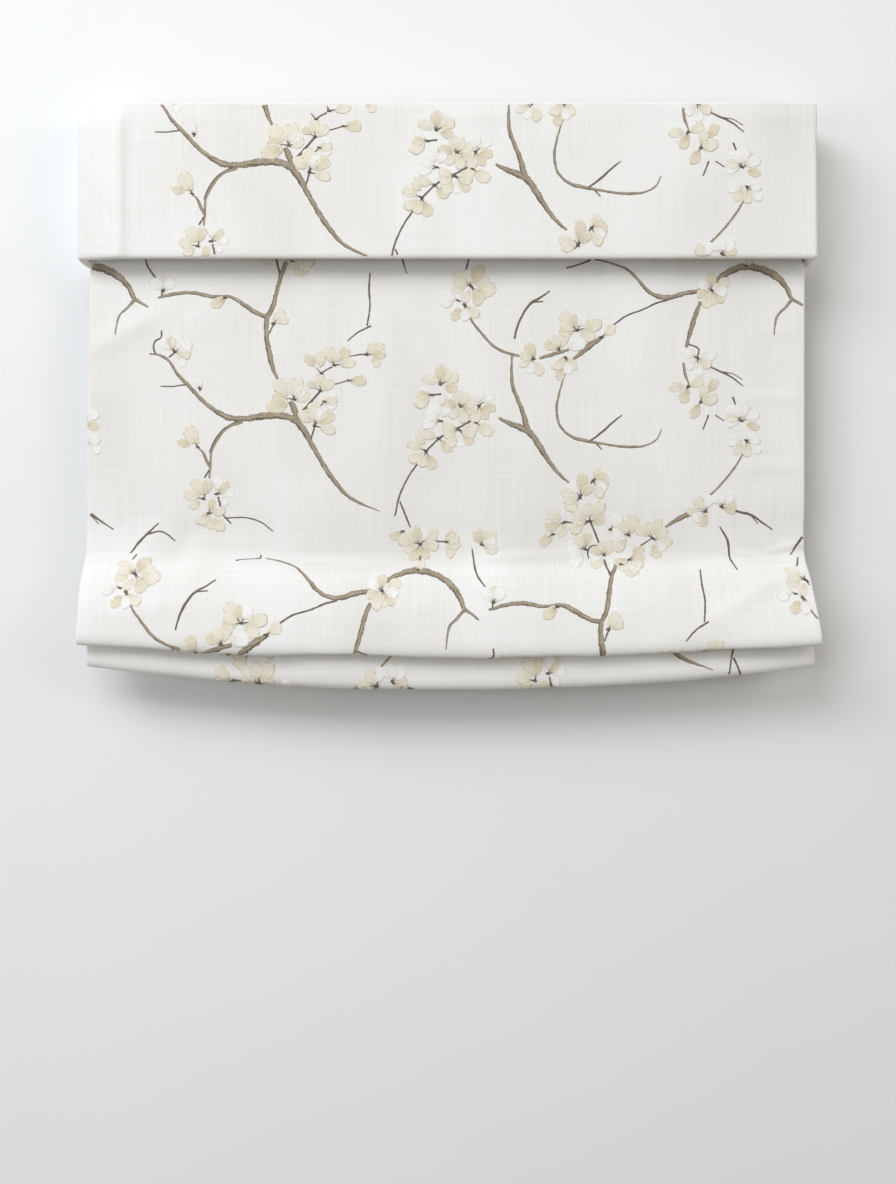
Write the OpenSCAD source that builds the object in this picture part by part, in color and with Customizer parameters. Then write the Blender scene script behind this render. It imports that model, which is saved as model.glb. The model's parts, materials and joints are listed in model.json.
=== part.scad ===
// Roman blind with a boxed valance, hung on two wall brackets.
// X runs along the wall, Y runs into the wall and Z points up.
// The origin is the middle of the four wall screw holes, on the face of the wall.
// A "drop" is a distance measured down from the top of the valance.

/* [Panel] */
// Finished width of the cloth panel
panel_w = 742; // [600:1:1100]
// Drop between two rows of battens
row_pitch = 220; // [160:1:280]
// Thickness of the embroidered face cloth
face_t = 1.2; // [0.8:0.1:1.6]
// Thickness of the lining
lining_t = 0.7; // [0.4:0.1:1]
// Width of the face cloth turned back at each side
side_hem_w = 35; // [20:1:50]

/* [Folds] */
// How far the outer fold stands out from the panel
outer_reach = 34; // [32:1:44]
// How far the outer fold hangs below its row
outer_drop = 81; // [72:1:100]
// How far the inner fold stands out from the panel
inner_reach = 22; // [20:1:24]
// How far the inner fold hangs below the upper row
inner_drop = 104; // [94:1:120]
// Sag of the outer fold at the middle of the blind
outer_sag = 13; // [0:1:20]
// Sag of the inner fold at the middle of the blind
inner_sag = 24; // [0:1:30]
// How far the fold ends splay out at each side
fold_splay = 10; // [0:0.5:12]
// Drop between the gathered rows
stack_pitch = 14; // [13:0.5:16]

/* [Valance] */
// Height of the valance
valance_h = 160; // [120:1:220]
// Free depth between the panel and the valance board
valance_gap = 25.5; // [20:0.5:60]
// Thickness of the valance boards
board_t = 3; // [2:0.5:6]
// Thickness of the cloth that covers the valance
cover_t = 1.5; // [1:0.1:2]
// Width of the cover turned over the board edges
cover_turn_w = 25; // [15:1:40]
// How far the cover hangs below the boards
cover_hang = 10; // [0:1:15]
// Width of the slanting left end of the valance
slant_w = 44; // [20:1:60]
// Depth of the slanting left end of the valance
slant_d = 10; // [6:0.5:16]
// Room between the panel and the valance at each side
side_room = 1; // [0.5:0.1:4]

/* [Embroidery] */
// How far the stitches stand above the cloth
stitch_t = 0.6; // [0.3:0.1:1]
// Width of the widest bough
bough_w = 9; // [6:0.5:10]
// Radius of a petal
petal_r = 5.5; // [4:0.1:6]

/* [Headrail] */
// Depth of the headrail channel
rail_d = 40; // [38:0.5:50]
// Height of the headrail channel
rail_h = 36; // [35:0.5:44]
// Wall of the headrail channel
rail_wall = 1.5; // [1.2:0.1:2]
// Width of each lip along the open underside
rail_lip = 6; // [4:0.5:7]
// Height of the hook and loop tape
tape_h = 25; // [16:1:28]
// Thickness of one layer of hook or loop tape
tape_t = 1.5; // [1:0.1:2]

/* [Brackets] */
// Distance from the end of the panel to the middle of a bracket
bracket_inset = 121; // [105:1:150]
// Width of a bracket
bracket_w = 30; // [24:1:40]
// Thickness of the bracket steel
bracket_t = 2.5; // [2:0.1:3]
// Drop between the two wall screws of a bracket
screw_pitch = 25; // [20:1:40]
// Diameter of a wall screw hole
screw_hole_d = 5; // [4:0.1:6]

/* [Lift] */
// Distance from the end of the panel to the outer ribbons
column_inset = 81; // [70:1:90]
// Width of the lift ribbon
ribbon_w = 12; // [10:0.5:14]
// Thickness of the lift ribbon
ribbon_t = 0.5; // [0.3:0.1:0.7]
// Hexagon lift shaft, across its flats
shaft_af = 6; // [5:0.1:7]
// Radius of a spool's core
spool_core_r = 7; // [6.5:0.1:7.5]
// Radius of a spool's flanges
spool_flange_r = 13.5; // [12:0.1:14]
// Ribbon left on a spool when the blind is down, in thickness
wound_t = 1.75; // [1:0.05:2.5]

/* [Battens] */
// Diameter of a batten rod
batten_d = 4; // [3:0.1:4.4]
// Height of a batten's pocket
pocket_h = 11; // [9:0.5:12]
// Depth of a batten's pocket
pocket_d = 6; // [6:0.1:8]
// Height of the bottom bar
bar_h = 24; // [18:1:28]
// Thickness of the bottom bar
bar_t = 4.5; // [3:0.1:5]

/* [Hidden] */
$fn = 48;

CLOTH = [0.93, 0.92, 0.90];
LINING = [0.92, 0.90, 0.85];
BRANCH = [0.63, 0.58, 0.52];
PETAL = [0.88, 0.85, 0.78];
BOARD = [0.66, 0.54, 0.40];
STEEL = [0.72, 0.73, 0.75];
ALUMINIUM = [0.82, 0.83, 0.84];
PLASTIC = [0.90, 0.90, 0.88];
TAPE = [0.86, 0.85, 0.82];
RIBBON = [0.89, 0.87, 0.83];

// Clearances
seat_gap = 0.3;
running_gap = 0.08;
seam_gap = 0.3;
overlap = 1;

// Depths, from the wall forwards
rail_back_y = -(bracket_t + 0.5);
rail_front_y = rail_back_y - rail_d;
loop_tape_front_y = rail_front_y - 2 * tape_t;
cloth_y = loop_tape_front_y - lining_t - seam_gap;
board_back_y = cloth_y - face_t - valance_gap;
cover_front_y = board_back_y - board_t - cover_t;
return_back_y = -1;

// Drops, from the top of the valance downwards
pad_t = bracket_t + 0.5;
board_drop = cover_t + board_t;
rail_drop = board_drop + pad_t;
rail_bottom_drop = rail_drop + rail_h;
panel_drop = rail_drop + 1.5;
gather_drop = panel_drop + tape_h;
row_upper = gather_drop + row_pitch;
row_middle = row_upper + row_pitch;
row_lower = row_middle + stack_pitch;
row_bottom = row_lower + stack_pitch;
screw_margin = 18;
leg_margin = 9;
screws_drop = rail_bottom_drop + screw_margin + screw_pitch / 2;
leg_end_drop = screws_drop + screw_pitch / 2 + leg_margin;
function z_at(drop) = screws_drop - drop;

// Widths
valance_w = panel_w + 2 * (side_room + 2 * cover_t + board_t);
rail_cap_t = 2;
rail_w = panel_w - 2 * rail_cap_t;
batten_w = panel_w - 2 * side_hem_w - 8;
bracket_spacing = panel_w - 2 * bracket_inset;
column_offset = panel_w / 2 - column_inset;
columns = [-column_offset, 0, column_offset];

// Lift shaft and ribbon line
shaft_z = z_at(rail_drop + rail_h / 2);
roll_r = spool_core_r + wound_t;
shaft_y = rail_back_y - rail_d * 0.575;
ribbon_y = shaft_y - roll_r - seat_gap;
lip_top_z = z_at(rail_bottom_drop - rail_wall);
rail_inside_front_y = rail_front_y + rail_wall;
rail_inside_back_y = rail_back_y - rail_wall;

// Box between two corners
module block(low, high) {
  translate(low) cube(high - low);
}

// Prism along X of an outline in Y and Z
module along_x(x0, x1) {
  translate([x0, 0, 0]) rotate([90, 0, 90]) linear_extrude(x1 - x0) children();
}

// Rectangle with rounded corners between two corners
module rounded(low, high, r) {
  size = high - low;
  translate(low + [r, r]) square(size - [2 * r, 2 * r]);
  for (x = [low[0] + r, high[0] - r], y = [low[1] + r, high[1] - r]) translate([x, y]) circle(r);
  translate(low + [r, 0]) square([size[0] - 2 * r, size[1]]);
  translate(low + [0, r]) square([size[0], size[1] - 2 * r]);
}

// Wall bracket: a leg on the wall and an arm over the headrail
arm_w = 28;
arm_screw_d = 4;
arm_screw_head_d = 7.6;
arm_screw_gap = 0.15;
arm_screw_y = rail_back_y - arm_w * 0.62;
arm_top_z = z_at(rail_drop - bracket_t);
leg_corner_r = 6;

module wall_bracket(side) {
  x = side * bracket_spacing / 2;
  color(STEEL) difference() {
    union() {
      translate([x, 0, 0]) rotate([90, 0, 0]) linear_extrude(bracket_t) difference() {
        rounded([-bracket_w / 2, z_at(leg_end_drop)], [bracket_w / 2, arm_top_z + leg_corner_r], leg_corner_r);
        translate([-bracket_w, arm_top_z]) square(2 * bracket_w);
      }
      block([x - bracket_w / 2, rail_back_y - arm_w, arm_top_z - bracket_t], [x + bracket_w / 2, 0, arm_top_z]);
    }
    for (k = [-1, 1]) translate([x, overlap, k * screw_pitch / 2]) rotate([90, 0, 0])
      cylinder(d = screw_hole_d, h = bracket_t + 2 * overlap);
    arm_screw_hole(x);
  }
}

// Countersunk hole for the screw that holds the headrail to a bracket arm
module arm_screw_hole(x) {
  sink = (arm_screw_head_d - arm_screw_d) / 2;
  translate([x, arm_screw_y, arm_top_z - bracket_t - overlap])
    cylinder(d = arm_screw_d + 2 * arm_screw_gap, h = bracket_t + 2 * overlap);
  translate([x, arm_screw_y, arm_top_z - sink])
    cylinder(d1 = arm_screw_d + 2 * arm_screw_gap, d2 = arm_screw_head_d + 2 * arm_screw_gap, h = sink + 0.001);
}

nut_h = 3.2;
nut_af = 7;
module bracket_screws() {
  sink = (arm_screw_head_d - arm_screw_d) / 2;
  length = bracket_t + rail_wall + nut_h + 1;
  color(STEEL) for (side = [-1, 1]) translate([side * bracket_spacing / 2, arm_screw_y, arm_top_z]) difference() {
    rotate([180, 0, 0]) rotate_extrude() polygon([
      [0, 0], [arm_screw_head_d / 2, 0], [arm_screw_d / 2, sink], [arm_screw_d / 2, length], [0, length]
    ]);
    for (turn = [0, 90]) rotate(turn) translate([-2.4, -0.4, -1.1]) cube([4.8, 0.8, 2]);
  }
}

module bracket_nuts() {
  color(STEEL) for (side = [-1, 1])
    translate([side * bracket_spacing / 2, arm_screw_y, z_at(rail_drop + rail_wall) - nut_h]) difference() {
      cylinder(d = nut_af / cos(30), h = nut_h, $fn = 6);
      translate([0, 0, -overlap]) cylinder(d = arm_screw_d + 2 * running_gap, h = nut_h + 2 * overlap);
    }
}

// Headrail: an extruded channel, open underneath, with a lip along each side
module rail_outline() {
  rounded([rail_front_y, z_at(rail_bottom_drop)], [rail_back_y, z_at(rail_drop)], 1);
}

module rail_hollow(gap = 0) {
  translate([rail_inside_front_y + gap, lip_top_z + gap])
    square([rail_d - 2 * rail_wall - 2 * gap, rail_h - 2 * rail_wall - 2 * gap]);
}

module headrail() {
  groove_h = 2;
  color(ALUMINIUM) difference() {
    along_x(-rail_w / 2, rail_w / 2) difference() {
      rail_outline();
      rail_hollow();
      translate([rail_inside_front_y + rail_lip, z_at(rail_bottom_drop) - overlap])
        square([rail_d - 2 * rail_wall - 2 * rail_lip, rail_wall + 2 * overlap]);
      for (k = [0, 1]) translate([rail_back_y - 0.6, z_at(rail_drop + rail_h * (0.3 + 0.4 * k)) - groove_h / 2])
        square([overlap, groove_h]);
    }
    for (side = [-1, 1]) translate([side * bracket_spacing / 2, arm_screw_y, z_at(rail_drop + rail_wall) - overlap])
      cylinder(d = arm_screw_d + 2 * arm_screw_gap, h = rail_wall + 2 * overlap);
  }
}

// End cap: a plate over the channel's end with a hollow plug inside it
module headrail_cap(side) {
  plug = 14;
  x_plate = side * rail_w / 2;
  color(PLASTIC) {
    along_x(min(x_plate, x_plate + side * rail_cap_t), max(x_plate, x_plate + side * rail_cap_t)) rail_outline();
    along_x(min(x_plate, x_plate - side * plug), max(x_plate, x_plate - side * plug)) difference() {
      rail_hollow(running_gap);
      rail_hollow(running_gap + 2);
    }
  }
}

// Spool and its cradle
flange_t = 1.5;
spool_gap_w = ribbon_w + 1.5;
flange_x = spool_gap_w / 2 + flange_t;
cheek_x = flange_x + seat_gap;
cheek_t = 2.4;
hub_r = 5.5;
hub_x = cheek_x + cheek_t + 1.5;
cradle_base_t = 2.5;
cradle_w = 2 * (cheek_x + cheek_t);

module hexagon(af) {
  rotate(30) circle(r = af / 2 / cos(30), $fn = 6);
}

module spool(x) {
  color(PLASTIC) translate([x, shaft_y, shaft_z]) difference() {
    rotate([0, 90, 0]) rotate_extrude() polygon([
      [0, -hub_x], [hub_r, -hub_x], [hub_r, -flange_x], [spool_flange_r, -flange_x],
      [spool_flange_r, -flange_x + flange_t], [spool_core_r, -flange_x + flange_t],
      [spool_core_r, flange_x - flange_t], [spool_flange_r, flange_x - flange_t],
      [spool_flange_r, flange_x], [hub_r, flange_x], [hub_r, hub_x], [0, hub_x]
    ]);
    along_x(-hub_x - overlap, hub_x + overlap) hexagon(shaft_af + 2 * running_gap);
  }
}

module ribbon_rolls() {
  color(RIBBON) for (x = columns) translate([x - ribbon_w / 2, shaft_y, shaft_z]) rotate([0, 90, 0]) difference() {
    cylinder(r = roll_r, h = ribbon_w);
    translate([0, 0, -overlap]) cylinder(r = spool_core_r + running_gap, h = ribbon_w + 2 * overlap);
  }
}

// Cradle: a base on the headrail's lips, two bored cheeks and a window for the ribbon
module spool_cradle(x) {
  cheek_half = 11;
  cheek_top_r = hub_r + 4;
  base_z = lip_top_z;
  window_y0 = rail_inside_front_y + rail_lip;
  window_y1 = shaft_y;
  color(PLASTIC) difference() {
    union() {
      block(
        [x - cradle_w / 2, rail_inside_front_y + running_gap, base_z],
        [x + cradle_w / 2, rail_inside_back_y - running_gap, base_z + cradle_base_t]
      );
      for (side = [-1, 1]) {
        x0 = x + (side < 0 ? -cheek_x - cheek_t : cheek_x);
        along_x(x0, x0 + cheek_t) {
          translate([shaft_y, shaft_z]) circle(cheek_top_r);
          translate([shaft_y - cheek_top_r, base_z]) square([2 * cheek_top_r, shaft_z - base_z]);
          translate([shaft_y - cheek_half, base_z]) square([2 * cheek_half, cradle_base_t + 3]);
        }
      }
    }
    along_x(x - cradle_w, x + cradle_w) translate([shaft_y, shaft_z]) circle(hub_r + running_gap);
    block(
      [x - spool_gap_w / 2, window_y0, base_z - overlap],
      [x + spool_gap_w / 2, window_y1, base_z + cradle_base_t + overlap]
    );
  }
}

shaft_end = column_offset + hub_x + 6;
module lift_shaft() {
  color(STEEL) along_x(-shaft_end, shaft_end) translate([shaft_y, shaft_z]) hexagon(shaft_af);
}

// Spring motor and brake: closed cases round the shaft, seated on the headrail's lips
motor_x0 = column_offset * 0.345;
motor_l = 86;
motor_cover_t = 3;
motor_screw_r = 1.5;
motor_screw_l = 10;
brake_x0 = -column_offset * 0.586;
brake_l = 42;
case_gap = 0.4;
shaft_bore_r = shaft_af / 2 / cos(30) + 0.5;

module case_outline(gap) {
  rounded(
    [rail_inside_front_y + gap, lip_top_z],
    [rail_inside_back_y - gap, z_at(rail_drop + rail_wall) - gap - nut_h], 3
  );
}

module shaft_bore() {
  translate([shaft_y, shaft_z]) circle(shaft_bore_r);
}

function motor_screw_places() = [
  for (y = [rail_inside_front_y + 5, rail_inside_back_y - 5], z = [lip_top_z + 5, z_at(rail_drop + rail_wall) - nut_h - 5])
  [y, z]
];

module spring_motor_case() {
  rib_count = 5;
  color(PLASTIC) difference() {
    along_x(motor_x0, motor_x0 + motor_l) difference() {
      case_outline(case_gap);
      shaft_bore();
    }
    for (k = [1:rib_count]) along_x(motor_x0 + motor_l * k / (rib_count + 1) - 3, motor_x0 + motor_l * k / (rib_count + 1) + 3)
      difference() {
        case_outline(0);
        case_outline(case_gap + 1);
        translate([rail_front_y, lip_top_z - overlap]) square([rail_d, rail_lip + overlap]);
      }
    for (p = motor_screw_places()) along_x(motor_x0 + motor_l - motor_screw_l - 2, motor_x0 + motor_l + overlap)
      translate(p) circle(motor_screw_r);
  }
}

module spring_motor_cover() {
  x0 = motor_x0 + motor_l;
  color(PLASTIC) along_x(x0, x0 + motor_cover_t) difference() {
    case_outline(case_gap);
    shaft_bore();
    for (p = motor_screw_places()) translate(p) circle(motor_screw_r + running_gap);
  }
}

module spring_motor_screws() {
  head_r = 2.6;
  head_h = 1.8;
  shank = motor_screw_r - running_gap;
  x0 = motor_x0 + motor_l + motor_cover_t;
  color(STEEL) for (p = motor_screw_places()) {
    along_x(x0 - motor_cover_t - motor_screw_l, x0) translate(p) circle(shank);
    along_x(x0, x0 + head_h) translate(p) circle(head_r);
  }
}

module brake_case() {
  color(PLASTIC) along_x(brake_x0, brake_x0 + brake_l) difference() {
    case_outline(case_gap);
    shaft_bore();
  }
}

// Hook tape on the headrail and loop tape on the back of the panel
tape_w = panel_w - 2 * side_hem_w - 2;
module front_tape(back_y) {
  color(TAPE) block(
    [-tape_w / 2, back_y - tape_t, z_at(panel_drop + tape_h)],
    [tape_w / 2, back_y, z_at(panel_drop)]
  );
}

// Strips that grip the valance's top board to the headrail
module valance_grip_tape() {
  strip_w = 20;
  end_x = rail_w / 2 - 8;
  arm_x = bracket_spacing / 2 + bracket_w / 2 + 4;
  middle_x = bracket_spacing / 2 - bracket_w / 2 - 4;
  y0 = rail_back_y - rail_d / 2 - strip_w / 2;
  color(TAPE) for (span = [[-end_x, -arm_x], [-middle_x, middle_x], [arm_x, end_x]])
    block([span[0], y0, z_at(rail_drop)], [span[1], y0 + strip_w, z_at(board_drop)]);
}

// Valance: boards glued to a box without a back or a bottom, under a cloth cover.
// The left end slants back over its last stretch, where the cloth has no board behind it.
board_x = valance_w / 2 - cover_t;
board_bottom_z = z_at(valance_h - cover_hang);
slant_l = norm([slant_w, slant_d]);

// Plan of the cover's outside, moved inwards by an inset
module cover_plan(inset, back_y = return_back_y) {
  left = -valance_w / 2 + inset;
  front = cover_front_y + inset;
  polygon([
    [left, back_y],
    [left, cover_front_y + slant_d + inset * (slant_l - slant_d) / slant_w],
    [-valance_w / 2 + slant_w + inset * (slant_l - slant_w) / slant_d, front],
    [-left, front],
    [-left, back_y]
  ]);
}

// The same plan with its front right edge softened
module cover_soft_plan() {
  r = cover_t * 1.6;
  difference() {
    cover_plan(0);
    translate([valance_w / 2, cover_front_y]) rotate(90) difference() {
      translate([-overlap, -overlap]) square(r + overlap);
      translate([r, r]) circle(r);
    }
  }
}

module valance_top_board() {
  color(BOARD) translate([0, 0, z_at(board_drop)]) linear_extrude(board_t) cover_plan(cover_t);
}

module valance_front_board() {
  color(BOARD) block(
    [-valance_w / 2 + slant_w + board_t, board_back_y - board_t, board_bottom_z],
    [board_x, board_back_y, z_at(board_drop)]
  );
}

module valance_return(side) {
  x0 = side < 0 ? -board_x : board_x - board_t;
  front_y = side < 0 ? cover_front_y + slant_d + cover_t + board_t : board_back_y;
  color(BOARD) block([x0, front_y, board_bottom_z], [x0 + board_t, return_back_y, z_at(board_drop)]);
}

// The cover is one cloth: front and returns, turned in over the top and under the bottom edges
module cover_ring(inset) {
  difference() {
    cover_soft_plan();
    cover_plan(inset, return_back_y + overlap);
  }
}

module valance_cover() {
  lining_inset = cover_t + board_t;
  color(CLOTH) translate([0, 0, z_at(valance_h)]) {
    translate([0, 0, valance_h - cover_t]) linear_extrude(cover_t) cover_ring(cover_turn_w);
    translate([0, 0, cover_t]) linear_extrude(valance_h - 2 * cover_t) cover_ring(cover_t);
    linear_extrude(cover_t) cover_ring(lining_inset + cover_t);
    translate([0, 0, cover_t]) linear_extrude(cover_turn_w) difference() {
      cover_plan(lining_inset);
      cover_plan(lining_inset + cover_t, return_back_y + overlap);
    }
  }
}

// Cloth profile: points of reach, drop, sag and splay, from the headrail to the hem.
// Reach is forward of the panel, and the fold shapes are shares of each fold's own size.
loop_turn_r = 2.4;
hem_below = 92;
hem_drop = row_middle + hem_below;
hem_room = 2.25;
hem_turn_r = bar_t / 2 + hem_room;
hem_turn_up = 40;
swell_above = 26;
flat_share = 0.85;
lower_turn = [-70, -250];
bottom_turn = [-20, -190];

function outer_point(p) = [p[0] * outer_reach, row_middle + p[1] * outer_drop, p[2] * outer_sag, p[3] * fold_splay];
function inner_point(p) = [
  p[0] * inner_reach, row_lower + p[1] * (inner_drop - stack_pitch), p[2] * inner_sag, p[3] * fold_splay
];
// Turn over the top of a gathered row, where the cloth doubles back
function row_turn(row, turn) = [
  for (k = [0:4])
  let (a = turn[0] + (turn[1] - turn[0]) * k / 4)
  [loop_turn_r + 0.8 + loop_turn_r * cos(a), row + loop_turn_r + 1.2 + loop_turn_r * sin(a), 0, 0]
];
hem_turn = [
  for (a = [0:30:180])
  [-1 + hem_turn_r * cos(a), hem_drop - hem_turn_r + hem_turn_r * sin(a), 0, 0]
];

profile = concat(
  [for (share = [0, 0.5, flat_share]) [0, panel_drop + share * (row_middle - panel_drop), 0, 0]],
  [[0.4, row_middle - swell_above, 0, 0]],
  [for (p = [
    [0.06, -0.12, 0, 0.08], [0.175, 0, 0.02, 0.18], [0.35, 0.10, 0.08, 0.3], [0.53, 0.22, 0.20, 0.42],
    [0.69, 0.37, 0.38, 0.55], [0.825, 0.53, 0.56, 0.68], [0.925, 0.705, 0.75, 0.82], [0.985, 0.85, 0.90, 0.94],
    [0.99, 0.94, 0.96, 1], [0.95, 0.985, 1, 1], [0.88, 1, 1, 1], [0.81, 0.98, 1, 1],
    [0.765, 0.925, 0.97, 0.95], [0.705, 0.765, 0.82, 0.8], [0.63, 0.58, 0.60, 0.6], [0.545, 0.425, 0.40, 0.42],
    [0.425, 0.31, 0.22, 0.26]
  ]) outer_point(p)],
  [[9.5, row_lower + 4.5, 0.08 * outer_sag, 0.12 * fold_splay], [5.5, row_lower + 1.6, 0, 0.05 * fold_splay]],
  row_turn(row_lower, lower_turn),
  [[5.5, row_lower + 7.2, 0.03 * inner_sag, 0]],
  [for (p = [
    [0.455, 0.134, 0.10, 0.03], [0.615, 0.238, 0.22, 0.06], [0.727, 0.384, 0.40, 0.1], [0.814, 0.558, 0.60, 0.16],
    [0.909, 0.733, 0.80, 0.22], [0.977, 0.86, 0.92, 0.27], [1, 0.93, 0.98, 0.3], [0.95, 0.983, 1, 0.3],
    [0.85, 1, 1, 0.3], [0.745, 0.985, 1, 0.3], [0.677, 0.93, 0.97, 0.28], [0.60, 0.767, 0.80, 0.22],
    [0.50, 0.581, 0.55, 0.15], [0.40, 0.419, 0.32, 0.08], [0.31, 0.302, 0.14, 0.03]
  ]) inner_point(p)],
  [[5.6, row_bottom + 6, 0.02 * inner_sag, 0]],
  row_turn(row_bottom, bottom_turn),
  [for (share = [0.35, 0.7])
    [1 + share * (hem_turn_r - 2), row_bottom + share * (hem_drop - row_bottom), 0, 0]],
  hem_turn,
  [[-1 - hem_turn_r, hem_drop - hem_turn_up * 0.6, 0, 0], [-1 - hem_turn_r, hem_drop - hem_turn_up, 0, 0]]
);

function unit(v) = v / norm(v);
// Direction of the cloth's face at a point of the profile, as reach and drop
function face_of(path, i) =
  let (a = path[max(i - 1, 0)], b = path[min(i + 1, len(path) - 1)], t = unit([b[0] - a[0], b[1] - a[1]]))
  [t[1], -t[0]];
// Point of the cloth at a place across the panel, a height over the seam between face and lining
function cloth_point(path, i, x, lift) =
  let (p = path[i], n = face_of(path, i), share = 2 * x / panel_w)
  [
    x + share * p[3],
    cloth_y - p[0] - lift * n[0],
    z_at(p[1] + lift * n[1] + p[2] * (1 - share * share))
  ];

// Sheet swept along a profile. A pair is a place on the outside and the same place on the inside of
// the sheet's section, each given as a distance across the panel and a height.
module cloth_sweep(path, pairs) {
  m = len(pairs);
  n = len(path);
  ring = 2 * m;
  points = [for (i = [0:n - 1], side = [0, 1], q = pairs) cloth_point(path, i, q[side][0], q[side][1])];
  outside = [
    for (i = [0:n - 2], j = [0:m - 2])
    let (a = i * ring + j)
    each [[a, a + ring, a + 1], [a + 1, a + ring, a + ring + 1]]
  ];
  inside = [
    for (i = [0:n - 2], j = [0:m - 2])
    let (a = i * ring + m + j)
    each [[a, a + 1, a + ring], [a + 1, a + ring + 1, a + ring]]
  ];
  edges = [
    for (i = [0:n - 2])
    let (a = i * ring, b = a + m, c = a + m - 1, d = b + m - 1)
    each [[a, b, a + ring], [b, b + ring, a + ring], [c, c + ring, d], [d, c + ring, d + ring]]
  ];
  ends = [
    for (j = [0:m - 2])
    let (a = j, b = m + j, c = (n - 1) * ring + j, d = c + m)
    each [[a, a + 1, b], [b, a + 1, b + 1], [c, d, c + 1], [d, d + 1, c + 1]]
  ];
  polyhedron(points, concat(outside, inside, edges, ends));
}

cloth_strips = 12;
function across(half) = [for (k = [0:cloth_strips]) half * (2 * k / cloth_strips - 1)];
hem_under = -(lining_t + 2 * seam_gap);

module face_cloth() {
  half = panel_w / 2;
  inner = half - face_t;
  hem_x = half - side_hem_w;
  hem_back = hem_under - face_t;
  pairs = concat(
    [[[-hem_x, hem_back], [-hem_x, hem_under]], [[-half, hem_back], [-inner, hem_under]]],
    [for (k = [0:cloth_strips]) [[across(half)[k], face_t], [across(inner)[k], 0]]],
    [[[half, hem_back], [inner, hem_under]], [[hem_x, hem_back], [hem_x, hem_under]]]
  );
  color(CLOTH) cloth_sweep(profile, pairs);
}

module lining() {
  half = panel_w / 2 - face_t - seat_gap;
  hem_points = 12;
  path = [for (i = [0:len(profile) - hem_points]) profile[i]];
  pairs = [for (x = across(half)) [[x, -seam_gap], [x, -seam_gap - lining_t]]];
  color(LINING) cloth_sweep(path, pairs);
}

// Embroidery: boughs and blossoms of a half-drop pattern, one repeat of which shows on the flat cloth.
// A place in the pattern is a distance across from the middle and down from the top of the panel.
// A bough is its share of the widest one and the places that it passes through.
boughs = [
  [0.9, [[-308, 245], [-279, 266], [-237, 306], [-192, 310], [-150, 323], [-119, 376], [-71, 409]]],
  [0.55, [[-300, 187], [-243, 186], [-187, 207]]],
  [0.7, [[-164, 143], [-182, 198], [-185, 243], [-175, 274]]],
  [0.4, [[-215, 316], [-237, 333], [-246, 375]]],
  [0.2, [[-82, 161], [-82, 190], [-84, 216]]],
  [0.25, [[-23, 347], [0, 327], [24, 315]]],
  [0.22, [[-29, 356], [-50, 392], [-55, 414]]],
  [0.35, [[17, 192], [34, 223], [67, 246], [126, 241], [162, 227], [218, 192]]],
  [0.25, [[106, 180], [86, 193], [69, 230]]],
  [0.6, [[67, 248], [66, 263], [82, 323]]],
  [0.9, [[53, 312], [84, 327], [104, 355], [128, 381]]],
  [0.4, [[122, 265], [113, 304], [145, 336], [187, 342], [222, 324]]],
  [0.6, [[153, 147], [198, 169], [229, 187], [267, 179]]],
  [1, [[265, 180], [307, 155], [342, 166], [357, 188]]],
  [0.4, [[355, 186], [343, 205], [339, 226]]],
  [0.6, [[260, 188], [254, 216], [246, 249], [251, 278]]],
  [0.2, [[267, 256], [294, 269], [307, 279]]],
  [0.3, [[308, 347], [286, 379], [261, 403]]]
];
blossoms = [
  [-295, 180], [-282, 240], [-258, 343], [-250, 396], [-160, 293], [-138, 322], [-120, 262], [-82, 246],
  [-23, 344], [-10, 280], [10, 308], [24, 175], [34, 290], [90, 252], [118, 238], [138, 212],
  [274, 177], [262, 247], [247, 284], [268, 310], [304, 312], [310, 342], [268, 408], [137, 392]
];
// The valance shows the pattern from this far down, and this far to the left
pattern_rise = 248;
pattern_shift = 4;
stitch_margin = 4;
blossom_r = 2.45 * petal_r;

// Point of a smooth curve through places, at a share of its length
function curve_point(places, share) =
  let (
    n = len(places) - 1,
    k = min(floor(share * n), n - 1),
    u = share * n - k,
    a = places[max(k - 1, 0)],
    b = places[k],
    c = places[k + 1],
    d = places[min(k + 2, n)]
  )
  b + ((c - a) * u + (2 * a - 5 * b + 4 * c - d) * u * u + (3 * b - a - 3 * c + d) * u * u * u) / 2;

// Bough of a width, drawn downwards as the pattern is, thinning towards both ends
module bough(width, places) {
  steps = 4 * (len(places) - 1);
  spine = [for (k = [0:steps]) let (p = curve_point(places, k / steps)) [p[0], -p[1]]];
  side = [
    for (k = [0:steps])
    let (t = unit(spine[min(k + 1, steps)] - spine[max(k - 1, 0)]))
    [-t[1], t[0]] * width * (0.25 + 0.25 * sin(180 * k / steps))
  ];
  polygon(concat([for (k = [0:steps]) spine[k] + side[k]], [for (k = [steps:-1:0]) spine[k] - side[k]]));
}

module blossom(turn, grow) {
  circle(petal_r + grow);
  for (k = [0:4]) rotate(turn + 72 * k) translate([blossom_r - petal_r, 0]) circle(petal_r + grow);
}

// Blossoms that lie whole between two corners of the pattern
module blossom_field(low, high, grow = 0) {
  for (k = [0:len(blossoms) - 1]) {
    p = blossoms[k];
    across_ok = p[0] - blossom_r > low[0] && p[0] + blossom_r < high[0];
    if (across_ok && p[1] - blossom_r > low[1] && p[1] + blossom_r < high[1])
      translate([p[0], -p[1]]) blossom(37 * k, grow);
  }
}

// Boughs between two corners of the pattern, with room for the blossoms
module branch_field(low, high) {
  difference() {
    intersection() {
      for (b = boughs) bough(b[0] * bough_w, b[1]);
      translate([low[0], -high[1]]) square(high - low);
    }
    blossom_field(low, high, seam_gap);
  }
}

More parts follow.
